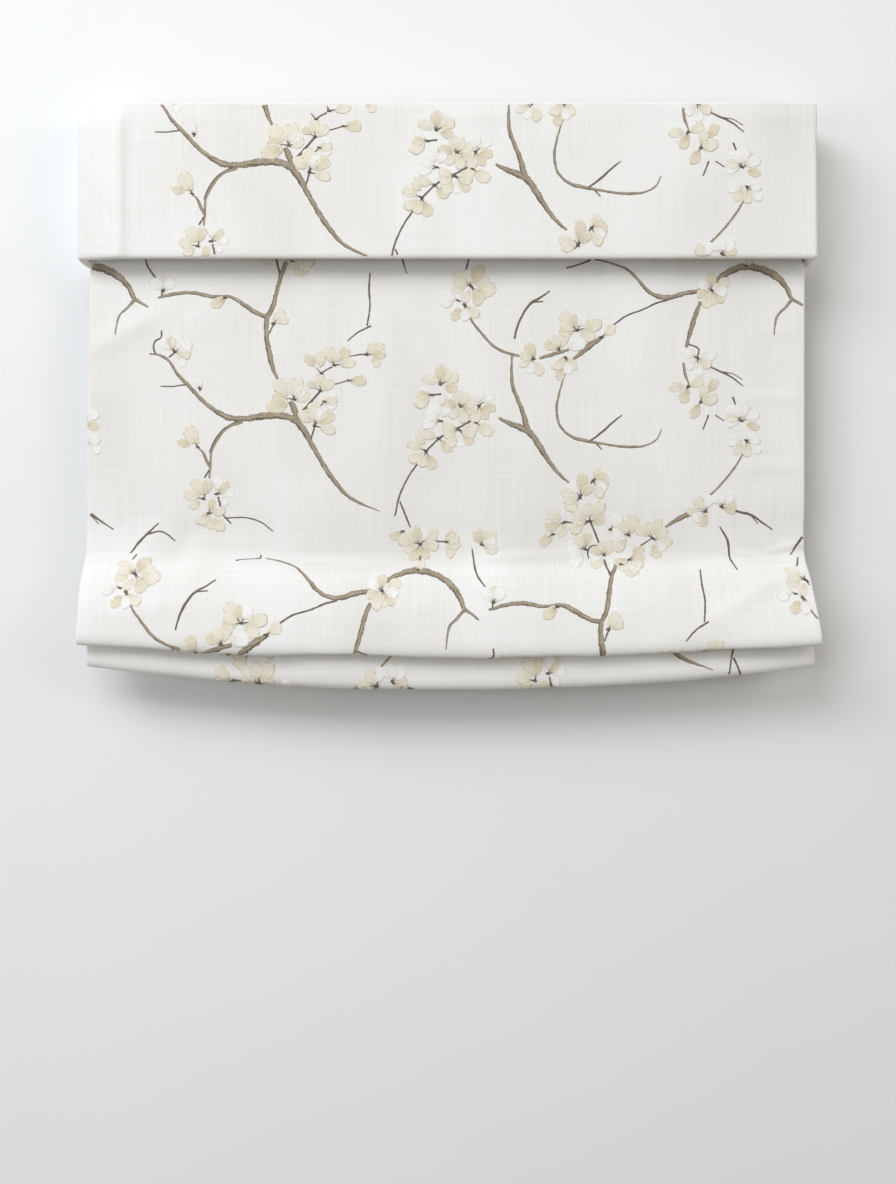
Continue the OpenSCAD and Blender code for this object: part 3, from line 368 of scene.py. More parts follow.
# Blossom branches, in millimetres across and down the cloth. Each stem has its points, x and y in turn,
# and widths spread evenly along it.
STEMS = [
    ((-300, 187, -293, 185, -265, 182, -243, 186, -226, 186, -212, 194, -198, 203, -187, 207), (2.6, 3.6, 4.2, 4.2,
     4.2, 4.7, 5.2, 5.2)),
    ((-316, 132, -314, 145, -312, 153, -304, 165, -297, 173, -296, 185), (1.5, 1.7, 1.9, 1.9, 1.9, 1.7)),
    ((-164, 143, -173, 163, -177, 179, -182, 198, -187, 207, -188, 224, -185, 243, -181, 261, -175, 274), (4.2, 5.2,
     5.7, 5.7, 6.2, 6.2, 5.7, 5.2, 3.1)),
    ((-179, 143, -174, 164), (2.3, 2.3)),
    ((-176, 274, -178, 286, -173, 292, -166, 292), (1.6, 1.6)),
    ((-185, 224, -181, 216, -176, 211), (1.6, 1.6)),
    ((-81, 161, -82, 179, -81, 193, -84, 216), (1.4, 1.9, 1.9, 1.6)),
    ((-80, 216, -95, 224, -104, 232), (1.9, 1.2)),
    ((-308, 245, -300, 246, -290, 251, -279, 266, -268, 278, -253, 294, -237, 306, -226, 312, -212, 313, -192, 310,
     -173, 310, -158, 314, -150, 323, -141, 340, -129, 360, -119, 376, -105, 392, -92, 400, -71, 409), (1.6, 2.6,
     3.3, 3.8, 4.2, 4.8, 5.6, 6.6, 7.3, 7.9, 8.5, 8.7, 7.9, 6.2, 5.4, 5.2, 4.6, 3.3, 1.0)),
    ((-302, 245, -304, 239, -302, 232, -296, 228, -296, 221), (1.7, 1.7)),
    ((-270, 277, -284, 279, -296, 279), (1.5, 1.2)),
    ((-256, 284, -256, 277), (1.7, 1.5)),
    ((-288, 249, -281, 243), (1.7, 1.5)),
    ((-163, 295, -159, 303, -155, 316), (5.2, 6.8, 6.2)),
    ((-151, 305, -146, 300, -139, 292, -132, 284), (2.1, 1.9)),
    ((-148, 302, -135, 301, -128, 296), (1.6, 1.6)),
    ((-132, 267, -129, 264, -120, 259), (1.6, 1.5)),
    ((-102, 248, -91, 246, -85, 246), (1.5, 1.4)),
    ((-117, 277, -103, 273), (1.4, 1.4)),
    ((-138, 321, -142, 335), (1.9, 1.5)),
    ((-212, 316, -226, 321, -237, 333, -244, 347, -245, 364, -246, 375), (3.6, 3.6, 3.3, 2.9, 2.6, 2.1)),
    ((-217, 315, -231, 323, -241, 336, -246, 348), (1.2, 1.2)),
    ((-245, 364, -250, 354, -253, 347, -258, 343), (3.3, 3.3, 2.7, 1.6)),
    ((-246, 366, -251, 374), (2.1, 1.7)),
    ((-237, 394, -231, 414, -224, 422), (1.9, 1.7)),
    ((-230, 416, -206, 416, -194, 420, -181, 430), (1.5, 1.2)),
    ((-17, 288, -7, 287), (1.9, 1.7)),
    ((-23, 347, -10, 334, 1, 326, 11, 322, 24, 315), (2.1, 2.1)),
    ((-29, 356, -42, 375, -50, 392, -55, 414), (1.9, 1.6)),
    ((-50, 399, -43, 416, -39, 426), (1.8, 1.5)),
    ((-16, 440, -2, 441), (1.6, 1.6)),
    ((-29, 448, -29, 466), (2.3, 2.3)),
    ((123, 156, 137, 152, 148, 148), (1.7, 2.1)),
    ((148, 148, 148, 140), (1.5, 1.2)),
    ((153, 147, 170, 151, 187, 158, 198, 169, 207, 179, 217, 185, 229, 187, 248, 182, 267, 179), (2.1, 2.6, 3.1, 3.7,
     4.6, 5.2, 5.6, 5.4, 4.6)),
    ((267, 179, 276, 171, 291, 161, 307, 155, 326, 157, 342, 166, 352, 177, 357, 188), (3.5, 4.7, 7.3, 8.8, 8.8, 7.8,
     6.2, 5.2)),
    ((357, 188, 364, 192, 372, 197), (4.7, 3.6, 2.1)),
    ((357, 190, 350, 198, 343, 205, 340, 216, 339, 226), (4.2, 3.3, 2.7, 2.1, 1.2)),
    ((229, 189, 216, 193, 211, 195), (2.1, 1.7)),
    ((22, 143, 21, 150, 18, 160), (1.7, 1.7)),
    ((17, 192, 20, 201, 26, 213, 34, 223, 50, 239, 67, 246, 85, 249), (2.1, 2.3, 2.7, 3.1, 3.3, 3.1, 2.6)),
    ((95, 250, 112, 245, 126, 241), (3.1, 4.2, 3.6)),
    ((130, 251, 145, 239, 162, 227), (3.1, 7.8, 3.1)),
    ((170, 217, 187, 205, 201, 200, 218, 192), (1.7, 1.7)),
    ((106, 180, 96, 187, 86, 193, 77, 206, 71, 221, 69, 230), (1.5, 2.1, 2.5, 2.3, 2.1, 1.6)),
    ((88, 192, 99, 191), (1.7, 1.2)),
    ((67, 245, 66, 263, 67, 278, 72, 291, 76, 301, 82, 323), (2.6, 3.1, 4.0, 4.8, 5.6, 6.8)),
    ((53, 312, 61, 316, 71, 320, 84, 327, 93, 338, 104, 355, 114, 369, 128, 381), (3.1, 4.8, 6.8, 8.3, 7.3, 5.8, 4.6,
     1.6)),
    ((122, 265, 116, 285, 113, 304, 117, 321, 128, 331, 145, 336, 162, 339, 187, 342, 207, 340, 217, 334, 222, 324),
     (1.7, 2.5, 2.9, 3.3, 3.5, 3.7, 3.3, 2.9, 2.5, 2.1, 1.2)),
    ((148, 336, 162, 325, 172, 316, 181, 309), (2.3, 2.1, 1.7, 1.2)),
    ((154, 338, 160, 345), (1.6, 1.2)),
    ((263, 191, 258, 203, 254, 216, 249, 234, 246, 249, 246, 263, 251, 278), (4.7, 5.2, 5.2, 4.8, 3.7, 3.1, 2.3)),
    ((250, 235, 261, 241, 259, 249), (1.7, 1.5)),
    ((267, 256, 280, 262, 294, 269, 307, 279), (1.5, 1.9, 1.9, 1.0)),
    ((286, 264, 296, 266, 306, 272), (1.2, 1.0)),
    ((271, 309, 265, 324), (1.7, 1.4)),
    ((278, 309, 287, 315), (1.2, 1.2)),
    ((296, 290, 300, 301), (1.9, 1.7)),
    ((308, 347, 299, 362, 286, 379, 274, 391, 261, 403), (2.1, 2.3, 2.5, 2.7, 3.1)),
    ((223, 428, 238, 418, 248, 413, 259, 408), (2.1, 5.7, 6.2, 3.1)),
    ((284, 405, 301, 409, 316, 413, 326, 420, 338, 428), (2.1, 2.5, 2.5, 2.1, 1.2)),
    ((315, 413, 323, 422), (1.2, 1.0)),
    ((283, 425, 291, 439, 293, 460, 298, 478), (1.5, 2.1, 2.1, 1.2)),
    ((137, 395, 151, 377), (1.9, 1.7)),
    ((148, 419, 155, 436, 158, 445), (1.9, 1.9)),
    ((158, 445, 148, 446, 145, 453, 146, 458), (1.7, 1.5)),
    ((197, 447, 213, 437), (1.7, 1.5)),
    ((148, 419, 134, 421, 122, 420), (1.5, 1.5)),
    ((-326, 455, -318, 442, -310, 433, -298, 421), (1.5, 2.3, 2.3, 1.2)),
    ((-310, 433, -296, 430, -281, 440), (1.9, 1.7, 1.0)),
]
# Each blossom has its heart and its petals: place, size, and w where the petal is white
BLOSSOMS = [
    ((-295, 180), [(-302, 173, 1, "w"), (-289, 173, 1, "w")]),
    ((-231, 187), [(-238, 192, 1)]),
    ((-162, 149), [(-154, 151, 1.1), (-151, 158, 0.9)]),
    ((-181, 214), [(-175, 207, 1.1), (-171, 211, 0.8)]),
    ((-282, 243), [(-291, 236, 0.9, "w"), (-280, 232, 1.1, "w"), (-272, 238, 1.1, "w"), (-275, 253, 0.8, "w")]),
    ((-256, 281), [(-257, 276, 0.7, "w")]),
    ((-159, 293), [(-172, 280, 1.3), (-157, 281, 1.4), (-176, 299, 1.4), (-151, 290, 1.1)]),
    ((-138, 320), [(-148, 311, 1), (-138, 306, 1.4), (-126, 312, 1.2), (-124, 324, 1)]),
    ((-128, 295), [(-122, 290, 0.9, "w"), (-122, 298, 0.9, "w")]),
    ((-132, 284), [(-133, 272, 1), (-125, 278, 1), (-141, 278, 0.7)]),
    ((-131, 266), [(-143, 252, 1), (-132, 251, 1)]),
    ((-118, 257), [(-122, 246, 1.1), (-109, 246, 1.1), (-104, 255, 1), (-115, 249, 0.7)]),
    ((-85, 246), [(-80, 240, 0.9), (-73, 239, 0.9), (-72, 246, 0.9), (-75, 254, 0.8)]),
    ((-103, 273), [(-93, 273, 1.1)]),
    ((-258, 342), [(-264, 330, 1.3), (-272, 338, 0.9)]),
    ((-252, 396), [(-264, 393, 1), (-258, 384, 1.1), (-249, 384, 1), (-261, 402, 0.8)]),
    ((-239, 391), [(-237, 380, 0.9, "w"), (-227, 390, 0.9, "w"), (-231, 398, 0.7, "w")]),
    ((-247, 411), [(-253, 417, 1), (-237, 423, 1), (-244, 402, 0.8), (-245, 422, 0.8)]),
    ((-8, 277), [(-8, 266, 1.1), (-19, 272, 1), (4, 271, 1), (3, 281, 0.9)]),
    ((-17, 288), [(-27, 295, 1.1), (-24, 284, 0.7, "w")]),
    ((-7, 315), [(-13, 303, 1, "w"), (-19, 318, 1, "w"), (-2, 305, 0.8, "w")]),
    ((13, 300), [(10, 290, 1), (1, 297, 1), (23, 295, 1), (16, 310, 1)]),
    ((32, 299), [(32, 288, 1, "w"), (42, 291, 0.9, "w"), (43, 301, 0.9), (29, 310, 1)]),
    ((11, 324), [(4, 336, 1), (20, 334, 1), (24, 322, 1), (1, 321, 0.9)]),
    ((29, 317), [(39, 324, 1.2)]),
    ((-10, 333), [(-2, 341, 1), (-20, 330, 0.9)]),
    ((-23, 346), [(-35, 341, 1), (-34, 353, 1), (-18, 358, 1.1), (-28, 333, 0.9)]),
    ((-29, 443), [(-44, 440, 1.1), (-32, 433, 1), (-18, 435, 1.1), (-17, 445, 1), (-34, 453, 1)]),
    ((-47, 430), [(-54, 434, 0.9)]),
    ((-2, 441), [(2, 435, 0.9), (6, 444, 0.9), (2, 451, 0.8)]),
    ((35, 444), [(32, 436, 1), (43, 437, 1.1), (44, 448, 1)]),
    ((274, 179), [(265, 174, 0.9, "w"), (286, 172, 1), (281, 186, 1), (270, 190, 1)]),
    ((310, 154), [(313, 149, 0.7)]),
    ((24, 175), [(30, 163, 1.3), (14, 166, 1.2), (40, 178, 1.3), (30, 188, 1), (11, 178, 0.9)]),
    ((11, 190), [(2, 186, 1, "w"), (-1, 193, 0.8, "w")]),
    ((17, 194), [(9, 204, 1), (26, 202, 1)]),
    ((89, 250), [(86, 242, 1), (94, 261, 1), (80, 255, 0.8)]),
    ((134, 221), [(124, 210, 1.2), (131, 211, 0.9), (151, 216, 1.2), (145, 226, 1.1), (123, 223, 1)]),
    ((115, 241), [(107, 237, 1), (119, 231, 1.1), (134, 236, 1.2, "w")]),
    ((159, 228), [(168, 221, 1)]),
    ((122, 249), [(115, 256, 1), (128, 256, 1), (117, 266, 0.9)]),
    ((259, 249), [(250, 245, 1, "w"), (252, 257, 0.8, "w"), (261, 262, 0.9, "w"), (271, 247, 1.1, "w")]),
    ((250, 279), [(238, 280, 1), (246, 289, 1), (259, 275, 1)]),
    ((263, 295), [(257, 305, 1), (272, 293, 1.1), (265, 285, 0.9), (275, 278, 1)]),
    ((305, 315), [(307, 303, 1, "w"), (296, 306, 0.9, "w"), (295, 317, 0.9, "w"), (316, 310, 1, "w"), (317, 320,
     0.9)]),
    ((310, 335), [(297, 336, 1, "w"), (318, 335, 0.9, "w"), (302, 344, 0.9), (320, 344, 0.9, "w")]),
    ((268, 409), [(255, 409, 0.9), (266, 418, 0.9), (271, 399, 0.9, "w")]),
    ((284, 404), [(291, 396, 1, "w"), (277, 397, 0.7, "w"), (293, 407, 0.9)]),
    ((137, 395), [(139, 378, 1.1), (125, 390, 1), (129, 403, 1), (145, 387, 0.9)]),
    ((151, 377), [(155, 370, 0.9), (160, 378, 1), (157, 389, 0.9)]),
    ((148, 419), [(156, 407, 1.1), (156, 419, 0.9), (137, 412, 1), (134, 427, 1)]),
    ((122, 420), [(110, 414, 1), (109, 424, 1), (119, 429, 0.9)]),
    ((109, 433), [(102, 439, 1)]),
    ((143, 449), [(130, 446, 1.1, "w"), (134, 459, 1, "w"), (144, 438, 1)]),
    ((162, 455), [(155, 451, 0.9), (155, 462, 1), (167, 447, 1.1)]),
    ((169, 428), [(175, 419, 1.1, "w")]),
    ((188, 434), [(191, 423, 1.3), (179, 444, 1.1), (177, 432, 1, "w")]),
    ((213, 437), [(217, 424, 1.1), (225, 440, 1.1), (216, 451, 1), (202, 430, 1)]),
    ((188, 460), [(179, 462, 0.9), (195, 465, 1), (188, 474, 1), (197, 451, 1)]),
]
HALF_DROP = (341, 316)
STITCH_H = 0.4
STEM_H = 0.25
# Stems up to this width are twigs, drawn a little wider
TWIG_W, TWIG_SCALE = 2.7, 1.2
PETAL_IN, PETAL_OUT, PETAL_W = 8.4, 8.2, 13.2
# Gaps between petals that take one more, in radians, and its size
GAP_LEAST, GAP_MOST, FILL_SIZE = 0.95, 2.2, 0.92
# Places of the threads in the list of stitching materials; the two edge ones are painted shade for a petal's
# outermost ring
BOUGH_AT, CREAM_AT, WHITE_AT, HEART_AT, TWIG_AT, TAN_AT, CREAM_EDGE_SHADE_AT, WHITE_EDGE_SHADE_AT, CORD_AT = range(9)


def ragged(run, phase):
    """How much wider or narrower a stitched edge is along its run."""
    slow = 0.13 * np.sin(run * 0.13 + phase) + 0.10 * np.sin(run * 0.55 + 1.7 * phase)
    return 1 + slow + 0.10 * np.sin(run * 1.7 + phase) + 0.06 * np.sin(run * 2.9)


def in_between(centre, petals):
    """Petals that fill the wider gaps of a blossom, one in four of them white."""
    away = np.array([petal[:2] for petal in petals], float) - centre
    angle = np.arctan2(away[:, 1], away[:, 0])
    order = np.argsort(angle)
    out = []
    for i, j in zip(order, np.roll(order, -1)):
        gap = (angle[j] - angle[i]) % math.tau
        if GAP_LEAST < gap < GAP_MOST:
            turn = angle[i] + gap / 2
            reach = 0.42 * (np.hypot(*away[i]) + np.hypot(*away[j]))
            x, y = centre[0] + reach * math.cos(turn), centre[1] + reach * math.sin(turn)
            out.append((x, y, FILL_SIZE, "w") if i % 4 == 1 else (x, y, FILL_SIZE))
    return out


class Stitches:
    """Raised stitching collected into one mesh."""

    def __init__(self, place):
        self.place = place
        self.verts, self.faces, self.uv, self.material = [], [], [], []

    def add(self, points, uv, quads, material):
        first = sum(len(v) for v in self.verts)
        self.verts.append(points.reshape(-1, 3))
        self.uv.append(uv.reshape(-1, 2))
        self.faces.extend((np.asarray(quads) + first).tolist())
        self.material.extend(np.broadcast_to(material, len(quads)).tolist())

    def strip(self, points, widths, material, raise_by=STEM_H):
        """Domed band along points, as wide as widths say."""
        p = np.asarray(points, float)
        w = np.interp(np.linspace(0, 1, len(p)), np.linspace(0, 1, len(widths)), widths)
        path, _ = smooth_path(np.column_stack([p, w]), 2.2)
        centre, width = path[:, :2], np.maximum(path[:, 2], 0.6)
        run = np.concatenate([[0], np.cumsum(np.linalg.norm(np.diff(centre, axis=0), axis=1))])
        t = np.gradient(centre, axis=0)
        t /= np.maximum(np.linalg.norm(t, axis=1), 1e-6)[:, None]
        side = np.stack([-t[:, 1], t[:, 0]], -1)
        shape = np.array([-1, -0.72, -0.3, 0.3, 0.72, 1])
        rise = np.array([-0.6, 0.75, 1, 1, 0.75, -0.6]) * raise_by
        edges = np.where(shape < 0, ragged(run, p[0, 0])[:, None], ragged(run, p[0, 1] + 2.1)[:, None])
        at = centre[:, None, :] + side[:, None, :] * (shape * edges * width[:, None] / 2)[..., None]
        for part in self.inside(centre):
            points3 = self.place(at[part, :, 0], at[part, :, 1], np.broadcast_to(rise, at[part].shape[:2]))
            uv = np.stack(np.broadcast_arrays(run[part, None] * MM, shape[None, :]), -1)
            index = np.arange(points3.shape[0] * points3.shape[1]).reshape(points3.shape[:2])
            self.add(points3, uv, grid_quads(index)[:, ::-1], material)

    def petal(self, base, tip, width, material, level, turn):
        """Domed petal between base and tip with a soft corded rim, its outermost ring coloured with painted shade
        where it meets the cloth. Turn varies its outline and its threads.
        """
        base, tip = np.asarray(base, float), np.asarray(tip, float)
        middle = (base + tip) / 2
        if not len(list(self.inside(np.array([middle, tip])))):
            return
        axis = (tip - base) / 2
        length = np.hypot(*axis)
        side = np.array([-axis[1], axis[0]]) / length * width / 2
        radii = np.array([0, 0.35, 0.62, 0.8, 0.91, 1.0])
        rise = np.array([0.7, 0.72, 0.68, 1.0, 0.85, -0.45]) * STITCH_H + level
        around = np.linspace(0, math.tau, 21)[:-1]
        outline = radii[:, None] * (1 + 0.05 * np.sin(3 * around + turn) + 0.04 * np.sin(5 * around + 2 * turn))
        u = outline * np.cos(around)
        v = outline * np.sin(around) * (0.86 + 0.20 * np.cos(around))
        at = middle + u[..., None] * axis + v[..., None] * side
        points3 = self.place(at[..., 0], at[..., 1], np.broadcast_to(rise[:, None], u.shape))
        uv = np.stack([u, v + 3 * turn], -1)
        index = np.arange(u.size).reshape(u.shape)
        index = np.concatenate([index, index[:, :1]], 1)
        # The outermost ring is painted darker as shade where the raised petal meets the cloth; the ring inside it is
        # the light cord thread
        rings = [material] * 3 + ([WHITE_AT, WHITE_EDGE_SHADE_AT] if material == WHITE_AT else [CORD_AT, CREAM_EDGE_SHADE_AT])
        self.add(points3, uv, grid_quads(index)[:, ::-1], np.repeat(rings, len(around)))

    def inside(self, centre):
        """Runs of points that lie on the cloth."""
        ok = self.place.holds(centre[:, 0], centre[:, 1])
        start = None
        for i, good in enumerate(list(ok) + [False]):
            if good and start is None:
                start = i
            if not good and start is not None:
                if i - start > 1:
                    yield slice(start, i)
                start = None

    def blossoms(self, dx, dy):
        """One repeat of the pattern, moved by dx and dy."""
        for points, widths in STEMS:
            twig = max(widths) <= TWIG_W
            path = np.reshape(points, (-1, 2)) + (dx, dy)
            self.strip(path, np.multiply(widths, TWIG_SCALE if twig else 1.0), TWIG_AT if twig else BOUGH_AT)
        for k, (centre, petals) in enumerate(BLOSSOMS):
            c = np.add(centre, (dx, dy)).astype(float)
            for j, (px, py, size, *white) in enumerate(in_between(centre, petals) + petals):
                p = np.add((px, py), (dx, dy)).astype(float)
                out = (p - c) / max(np.hypot(*(p - c)), 1e-6)
                thread = WHITE_AT if white else (CREAM_AT, TAN_AT, CREAM_AT)[(2 * j + k) % 3]
                self.petal(
                    p - out * PETAL_IN * size, p + out * PETAL_OUT * size, PETAL_W * size, thread,
                    0.13 * ((j + k) % 3), 1.7 * j + 0.9 * k,
                )
                if j % 2 == 0:
                    self.strip([c, c + (p - c) * 0.2, c + (p - c) * 0.45], [2.2, 1.2, 0.6], HEART_AT, 1.0)
            self.strip([c - (1.7, 0.4), c + (1.7, 0.4)], [2.6, 2.6], HEART_AT, 1.15)

    def build(self, name, materials):
        verts = np.concatenate(self.verts)
        return make_object(name, verts, self.faces, np.concatenate(self.uv), materials, self.material)


# The cloth is a little out of square on the outer fold: place across, and how far the pattern sits lower
PATTERN_X = [-HALF, -325, -209, -150, -60, 45, 115, 156, 260, HALF]
PATTERN_DROP = [-12, -12, -11, -4, -1, 9, 6, 1, -6, -5]


class PanelPlace:
    def __call__(self, x, s, height):
        s = s + np.interp(x, PATTERN_X, PATTERN_DROP) * smoothstep(450, 475, s)
        return cloth_at(np.clip(x, -HALF + 0.8, HALF - 0.8), np.clip(s, 1, S_END - 1), FACE_T + height)

    def holds(self, x, s):
        turns = ((s > S_TURN_1 - 6) & (s < S_INNER + 6)) | ((s > S_TURN_2 - 6) & (s < S_SKIRT))
        return (np.abs(x) < HALF - 1.5) & (s > 3) & (s < S_HEM) & ~turns


VALANCE_SHIFT_X, VALANCE_SHIFT_S = 4, 248


class ValancePlace:
    """The valance's cloth comes from further down the same piece: x and s move to its front."""

    left, right = -VALANCE_W / 2 + SLANT_W + 3, VALANCE_W / 2 - 4

    def __call__(self, x, s, height):
        d = np.clip(s - VALANCE_SHIFT_S, 2, VALANCE_H - 2)
        return valance_front(np.clip(x - VALANCE_SHIFT_X, self.left, self.right), d, height)

    def holds(self, x, s):
        x, d = x - VALANCE_SHIFT_X, s - VALANCE_SHIFT_S
        return (x > self.left) & (x < self.right) & (d > 2) & (d < VALANCE_H - 2)


# Cover of the valance

def valance_swell(x, d):
    """How far the valance's cloth stands off its flat front, at x across and d below the top."""
    edge = smoothstep(4, 40, d)
    hang = smoothstep(120, VALANCE_H, d)
    low = 0.9 + 0.9 * unevenness(0.9 * x + 400, 1.3 * d)
    wave = 0.9 * hang * (0.5 + 0.5 * np.sin(x / 41 + 0.7))
    roll = np.exp(-(((d - 15) / 10) ** 2)) * (0.5 + 0.4 * np.sin(x / 57 + 1) + 0.3 * np.sin(x / 23))
    return np.maximum(edge * low, 0) + wave + np.maximum(roll, 0)


def end_wrap(x, y, d):
    """How far the cloth wrapped over the left end stands off its board: most below the top, none at the wall."""
    across = smoothstep(-VALANCE_W / 2 + SLANT_W + 7, -VALANCE_W / 2 + SLANT_W - 3, x)
    crease = np.exp(-(((x + VALANCE_W / 2 - 4 - 0.84 * (d - 84)) / 5) ** 2))
    crease = crease * smoothstep(74, 90, d) * (1 - smoothstep(125, 140, d))
    return across * smoothstep(RETURN_BACK_Y, RETURN_BACK_Y - 40, y) * (3.4 * smoothstep(2, 30, d) - 0.8 * crease)


def valance_front(x, d, height):
    y = COVER_FRONT_Y - 0.05 - valance_swell(x, d) - height
    return np.stack(np.broadcast_arrays(x, y, TOP_Z - d), -1)


def rounded_plan(points, radii, step):
    """Open outline through points with rounded corners, and the direction inwards at each sample."""
    out = [np.asarray(points[0], float)]
    for i in range(1, len(points) - 1):
        a, b, c = (np.asarray(q, float) for q in points[i - 1 : i + 2])
        into, away = (b - a) / np.linalg.norm(b - a), (c - b) / np.linalg.norm(c - b)
        turn = math.acos(np.clip(into @ away, -1, 1))
        cut = radii[i] * math.tan(turn / 2)
        out += [b - into * cut * (1 - t) ** 2 + away * cut * t**2 for t in np.linspace(0, 1, 9)]
    out.append(np.asarray(points[-1], float))
    path = [out[0]]
    for p in out[1:]:
        n = max(1, math.ceil(np.linalg.norm(p - path[-1]) / step))
        start = path[-1]
        path += [start + (p - start) * k / n for k in range(1, n + 1)]
    path = np.array(path)
    t = np.gradient(path, axis=0)
    t /= np.linalg.norm(t, axis=1)[:, None]
    return path, np.stack([-t[:, 1], t[:, 0]], -1)


def mitred(plan, corners, depth):
    """The plan moved inwards by a depth, cut short where two sides meet."""
    corners = np.asarray(corners, float)
    run = np.diff(corners, axis=0)
    length = np.linalg.norm(run, axis=1)
    run /= length[:, None]
    turn = [0] + [math.acos(np.clip(a @ b, -1, 1)) for a, b in zip(run, run[1:])] + [0]
    cut = depth * np.tan(np.array(turn) / 2)
    along = np.einsum("psk,sk->ps", plan[:, None, :] - corners[None, :-1, :], run)
    nearest = corners[None, :-1, :] + run * np.clip(along, 0, length)[..., None]
    side = np.linalg.norm(plan[:, None, :] - nearest, axis=2).argmin(1)
    kept = np.clip(along[np.arange(len(plan)), side], cut[side], length[side] - cut[side + 1])
    inward = np.stack([-run[side, 1], run[side, 0]], -1)
    return corners[side] + run[side] * kept[:, None] + inward * depth


# Rows of the cover's section deeper than these are mitred, or lie flat
MITRED_FROM, FLAT_FROM = 2.5, 3


def valance_cover_object(materials):
    half = VALANCE_W / 2
    corners = [
        (-half, RETURN_BACK_Y), (-half, COVER_FRONT_Y + SLANT_D), (-half + SLANT_W, COVER_FRONT_Y),
        (half, COVER_FRONT_Y), (half, RETURN_BACK_Y),
    ]
    plan, inward = rounded_plan(corners, [0, 5, 30, 3.5, 0], 5.5)
    m = COVER_T / 2
    low = TOP_Z - VALANCE_H
    turn_in = COVER_T + BOARD_T + m + 0.05
    top = [(COVER_TURN_W, TOP_Z - m), (18, TOP_Z - m), (11, TOP_Z - m), (6, TOP_Z - m), (2.6, TOP_Z - m)]
    top += [(1.5, TOP_Z - m - 0.15), (m + 0.3, TOP_Z - 1.1), (m + 0.05, TOP_Z - 2), (m, TOP_Z - 4)]
    front = [(m, z) for z in np.linspace(TOP_Z - 8, low + 6, 34)]
    foot = [(m + 0.1, low + 3), (m + 0.8, low + 1.4), (2.4, low + m), (3.7, low + m), (turn_in - 0.8, low + 1.4)]
    foot += [(turn_in - 0.1, low + 3)] + [(turn_in, low + z) for z in (6, 12, 18, COVER_TURN_W)]
    section = np.array(top + front + foot)
    t = np.gradient(section, axis=0)
    t /= np.linalg.norm(t, axis=1)[:, None]
    out = np.stack([t[:, 1], -t[:, 0]], -1)
    girth = np.concatenate([[0], np.cumsum(np.linalg.norm(np.diff(section, axis=0), axis=1))])
    run = np.concatenate([[0], np.cumsum(np.linalg.norm(np.diff(plan, axis=0), axis=1))])
    grids = []
    for side in (1, -1):
        line = section + side * m * out
        xy = plan[None, :, :] + inward[None, :, :] * line[:, None, 0, None]
        for i, deep in enumerate(line[:, 0]):
            if deep > MITRED_FROM:
                xy[i] = mitred(plan, corners, deep)
        d = TOP_Z - line[:, 1]
        swell = valance_swell(xy[..., 0], d[:, None]) + end_wrap(xy[..., 0], xy[..., 1], d[:, None])
        swell = swell * (line[:, None, 0] < FLAT_FROM)
        xy = xy - inward[None, :, :] * swell[..., None]
        z = np.broadcast_to(line[:, 1][:, None], xy.shape[:2])
        grids.append(np.concatenate([xy, z[..., None]], -1))
    uv = np.stack(np.broadcast_arrays((run - run[-1] / 2)[None, :], -girth[:, None]), -1) * MM
    return sheet_object("valance_cover_cloth", grids[0], grids[1], uv, materials), run[-1], girth[-1]


# Materials

def rgb(r, g, b):
    """Colour as seen on a screen, 0 to 1, turned to the linear values that shaders use."""
    return tuple(c / 12.92 if c <= 0.04045 else ((c + 0.055) / 1.055) ** 2.4 for c in (r, g, b)) + (1.0,)


class Nodes:
    """Small helper to write a material's nodes."""

    def __init__(self, name):
        self.material = bpy.data.materials.new(name)
        self.material.use_nodes = True
        self.tree = self.material.node_tree
        self.shader = self.tree.nodes["Principled BSDF"]

    def add(self, kind, **values):
        node = self.tree.nodes.new(kind)
        for key, value in values.items():
            if hasattr(node, key):
                setattr(node, key, value)
            else:
                node.inputs[key].default_value = value
        return node

    def link(self, out, into):
        self.tree.links.new(out, into)

    def coordinates(self, uv):
        if uv:
            return self.add("ShaderNodeUVMap", uv_map="Cloth").outputs["UV"]
        return self.add("ShaderNodeTexCoord").outputs["Object"]

    def noise(self, where, scale, detail=2.0):
        mapping = self.add("ShaderNodeMapping", Scale=scale)
        self.link(where, mapping.inputs["Vector"])
        noise = self.add("ShaderNodeTexNoise", Scale=1.0, Detail=detail)
        self.link(mapping.outputs["Vector"], noise.inputs["Vector"])
        return noise.outputs["Fac"]

    def wave(self, where, scale, direction):
        wave = self.add("ShaderNodeTexWave", bands_direction=direction, Scale=scale, Distortion=0.0)
        self.link(where, wave.inputs["Vector"])
        return wave.outputs["Fac"]

    def math(self, operation, a, b):
        node = self.add("ShaderNodeMath", operation=operation)
        for socket, value in zip(node.inputs, (a, b)):
            if isinstance(value, (int, float)):
                socket.default_value = value
            else:
                self.link(value, socket)
        return node.outputs[0]

    def ramp(self, fac, stops):
        node = self.add("ShaderNodeValToRGB")
        elements = node.color_ramp.elements
        while len(elements) < len(stops):
            elements.new(0.5)
        for element, (place, colour) in zip(elements, stops):
            element.position = place
            element.color = colour
        self.link(fac, node.inputs["Fac"])
        return node.outputs["Color"]

    def bump(self, height, strength, distance):
        node = self.add("ShaderNodeBump", Strength=strength, Distance=distance)
        self.link(height, node.inputs["Height"])
        self.link(node.outputs["Normal"], self.shader.inputs["Normal"])

    def finish(self, colour, **values):
        if isinstance(colour, tuple):
            self.shader.inputs["Base Color"].default_value = colour
        else:
            self.link(colour, self.shader.inputs["Base Color"])
        for key, value in values.items():
            self.shader.inputs[key.replace("_", " ")].default_value = value
        return self.material


